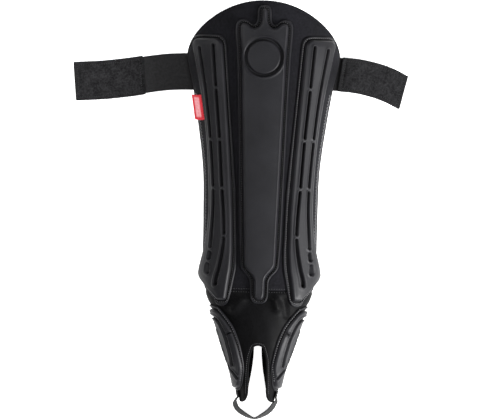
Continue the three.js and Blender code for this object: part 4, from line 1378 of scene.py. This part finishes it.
for word, side in (("left", -1), ("right", 1)):
    pad = SidePad(side)
    pad.build(f"side_pad_{word}")
    sewn = pad.seam(STITCH_AWAY["side"])
    add_stitches(f"side_pad_{word}_stitches", [(*sewn, *PAD_STITCH)], SIDE_THREADS_BY_LIGHT[word])
    downs = np.arange(OVERLOCK_RUN["from"], OVERLOCK_RUN["to"], 1.0)
    around = side * np.arcsin(1 - OVERLOCK_RUN["inset"] / half_at(downs))
    line = wall(around, downs, OVERLOCK_RUN["lift"]), wall_normal(around, downs)
    path = zigzag(*line, OVERLOCK_RUN["pitch"], OVERLOCK_RUN["reach"])
    add_stitches(f"sleeve_overlock_{word}", [(*path, *OVERLOCK_STITCH)], OVERLOCK)
    pad = AnklePad(side)
    pad.build(f"ankle_pad_{word}")
    sewn = pad.front_seam(STITCH_AWAY["ankle"])
    add_stitches(f"ankle_pad_{word}_stitches", [(*sewn, *EDGE_STITCH)], EDGE_THREADS_BY_LIGHT[word])


def seam_runs():
    """Stitches beside the seam between the sleeves, and round the notch."""
    runs = []
    for offset in SEAM["rows"]:
        around = np.linspace(-1, 1, 200) * (back_edge(SEAM_DOWN) - SEAM["short"])
        down = np.full(len(around), SEAM_DOWN + offset)
        lift = -SEAM["depth"] * bell(offset, SEAM["width"]) + SEAM["thread_lift"]
        runs.append((wall(around, down, lift), wall_normal(around, down), *SEAM_STITCH))
    for side in (-1, 1):
        inset = HEM["inset"]
        arch = NOTCH_TOP - inset + np.linspace(0, 4, 16) ** 1.3
        downs = np.concatenate([arch, np.arange(HEM["sides_from"], HEM["sides_to"], 1.0)])
        around = side * ankle_lines(downs, inset)[0]
        runs.append((wall(around, downs, HEM["thread_lift"]), wall_normal(around, downs), *HEM_STITCH))
    return runs


seam_threads = add_stitches("sleeve_stitches", seam_runs(), SLEEVE_THREAD)

for word in STRAPS:
    strap_elastic(word)
    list(strap_tape(word))
loop_band = stirrup()
label = side_tag()


# Floor, light and camera

FLOOR_SIZE = 40.0
bpy.ops.mesh.primitive_grid_add(x_subdivisions=8, y_subdivisions=8, size=FLOOR_SIZE, location=(0, 0, 0))
floor = bpy.context.object
floor.name = "floor"
floor.data.materials.append(floor_look())


def soft_light(name, place, size, power, aim=(0, 0, 0.03)):
    data = bpy.data.lights.new(name, "AREA")
    data.shape = "DISK"
    data.size = size
    data.energy = power
    light = bpy.data.objects.new(name, data)
    light.location = place
    light.rotation_euler = (Vector(aim) - Vector(place)).to_track_quat("-Z", "Y").to_euler()
    light.visible_camera = False
    bpy.context.scene.collection.objects.link(light)


soft_light("key", (1.58, -0.7, 0.95), 0.75, 113)
soft_light("overhead", (0.15, -0.85, 2.1), 1.4, 16)
soft_light("fill", (-1.2, 0.9, 1.5), 1.4, 33)

scene = bpy.context.scene
world = bpy.data.worlds.new("studio")
world.use_nodes = True
# The room is brighter on the right and towards the foot.
nodes, links = world.node_tree.nodes, world.node_tree.links
toward = nodes.new("ShaderNodeVectorMath")
toward.operation = "DOT_PRODUCT"
toward.inputs[1].default_value = Vector((0.85, -0.3, 0.2)).normalized()
links.new(nodes.new("ShaderNodeTexCoord").outputs["Generated"], toward.inputs[0])
room = nodes.new("ShaderNodeMapRange")
links.new(toward.outputs["Value"], room.inputs["Value"])
for key, value in (("From Min", -0.6), ("From Max", 0.9), ("To Min", 0.15), ("To Max", 1.0)):
    room.inputs[key].default_value = value
nodes["Background"].inputs["Color"].default_value = (1, 1, 1, 1)
links.new(room.outputs["Result"], nodes["Background"].inputs["Strength"])
scene.world = world
scene.view_settings.view_transform = "Standard"
scene.view_settings.look = "None"

# The camera looks straight down from far off, set for an image 480 pixels wide at 1.07 mm a pixel.
MM_PER_PIXEL = 1.07
IMAGE_WIDTH = 480
CAMERA = {"x": 2.14, "y": -0.07, "z": 30.0, "distance": 10000.0, "turn": 1.17, "sensor": 36.0}
data = bpy.data.cameras.new("camera")
data.sensor_width = CAMERA["sensor"]
data.lens = CAMERA["sensor"] * CAMERA["distance"] / (IMAGE_WIDTH * MM_PER_PIXEL)
data.clip_end = 100
camera = bpy.data.objects.new("camera", data)
camera.location = (CAMERA["x"] * MM, CAMERA["y"] * MM, (CAMERA["z"] + CAMERA["distance"]) * MM)
camera.rotation_euler = (0, 0, math.radians(CAMERA["turn"]))
scene.collection.objects.link(camera)
scene.camera = camera
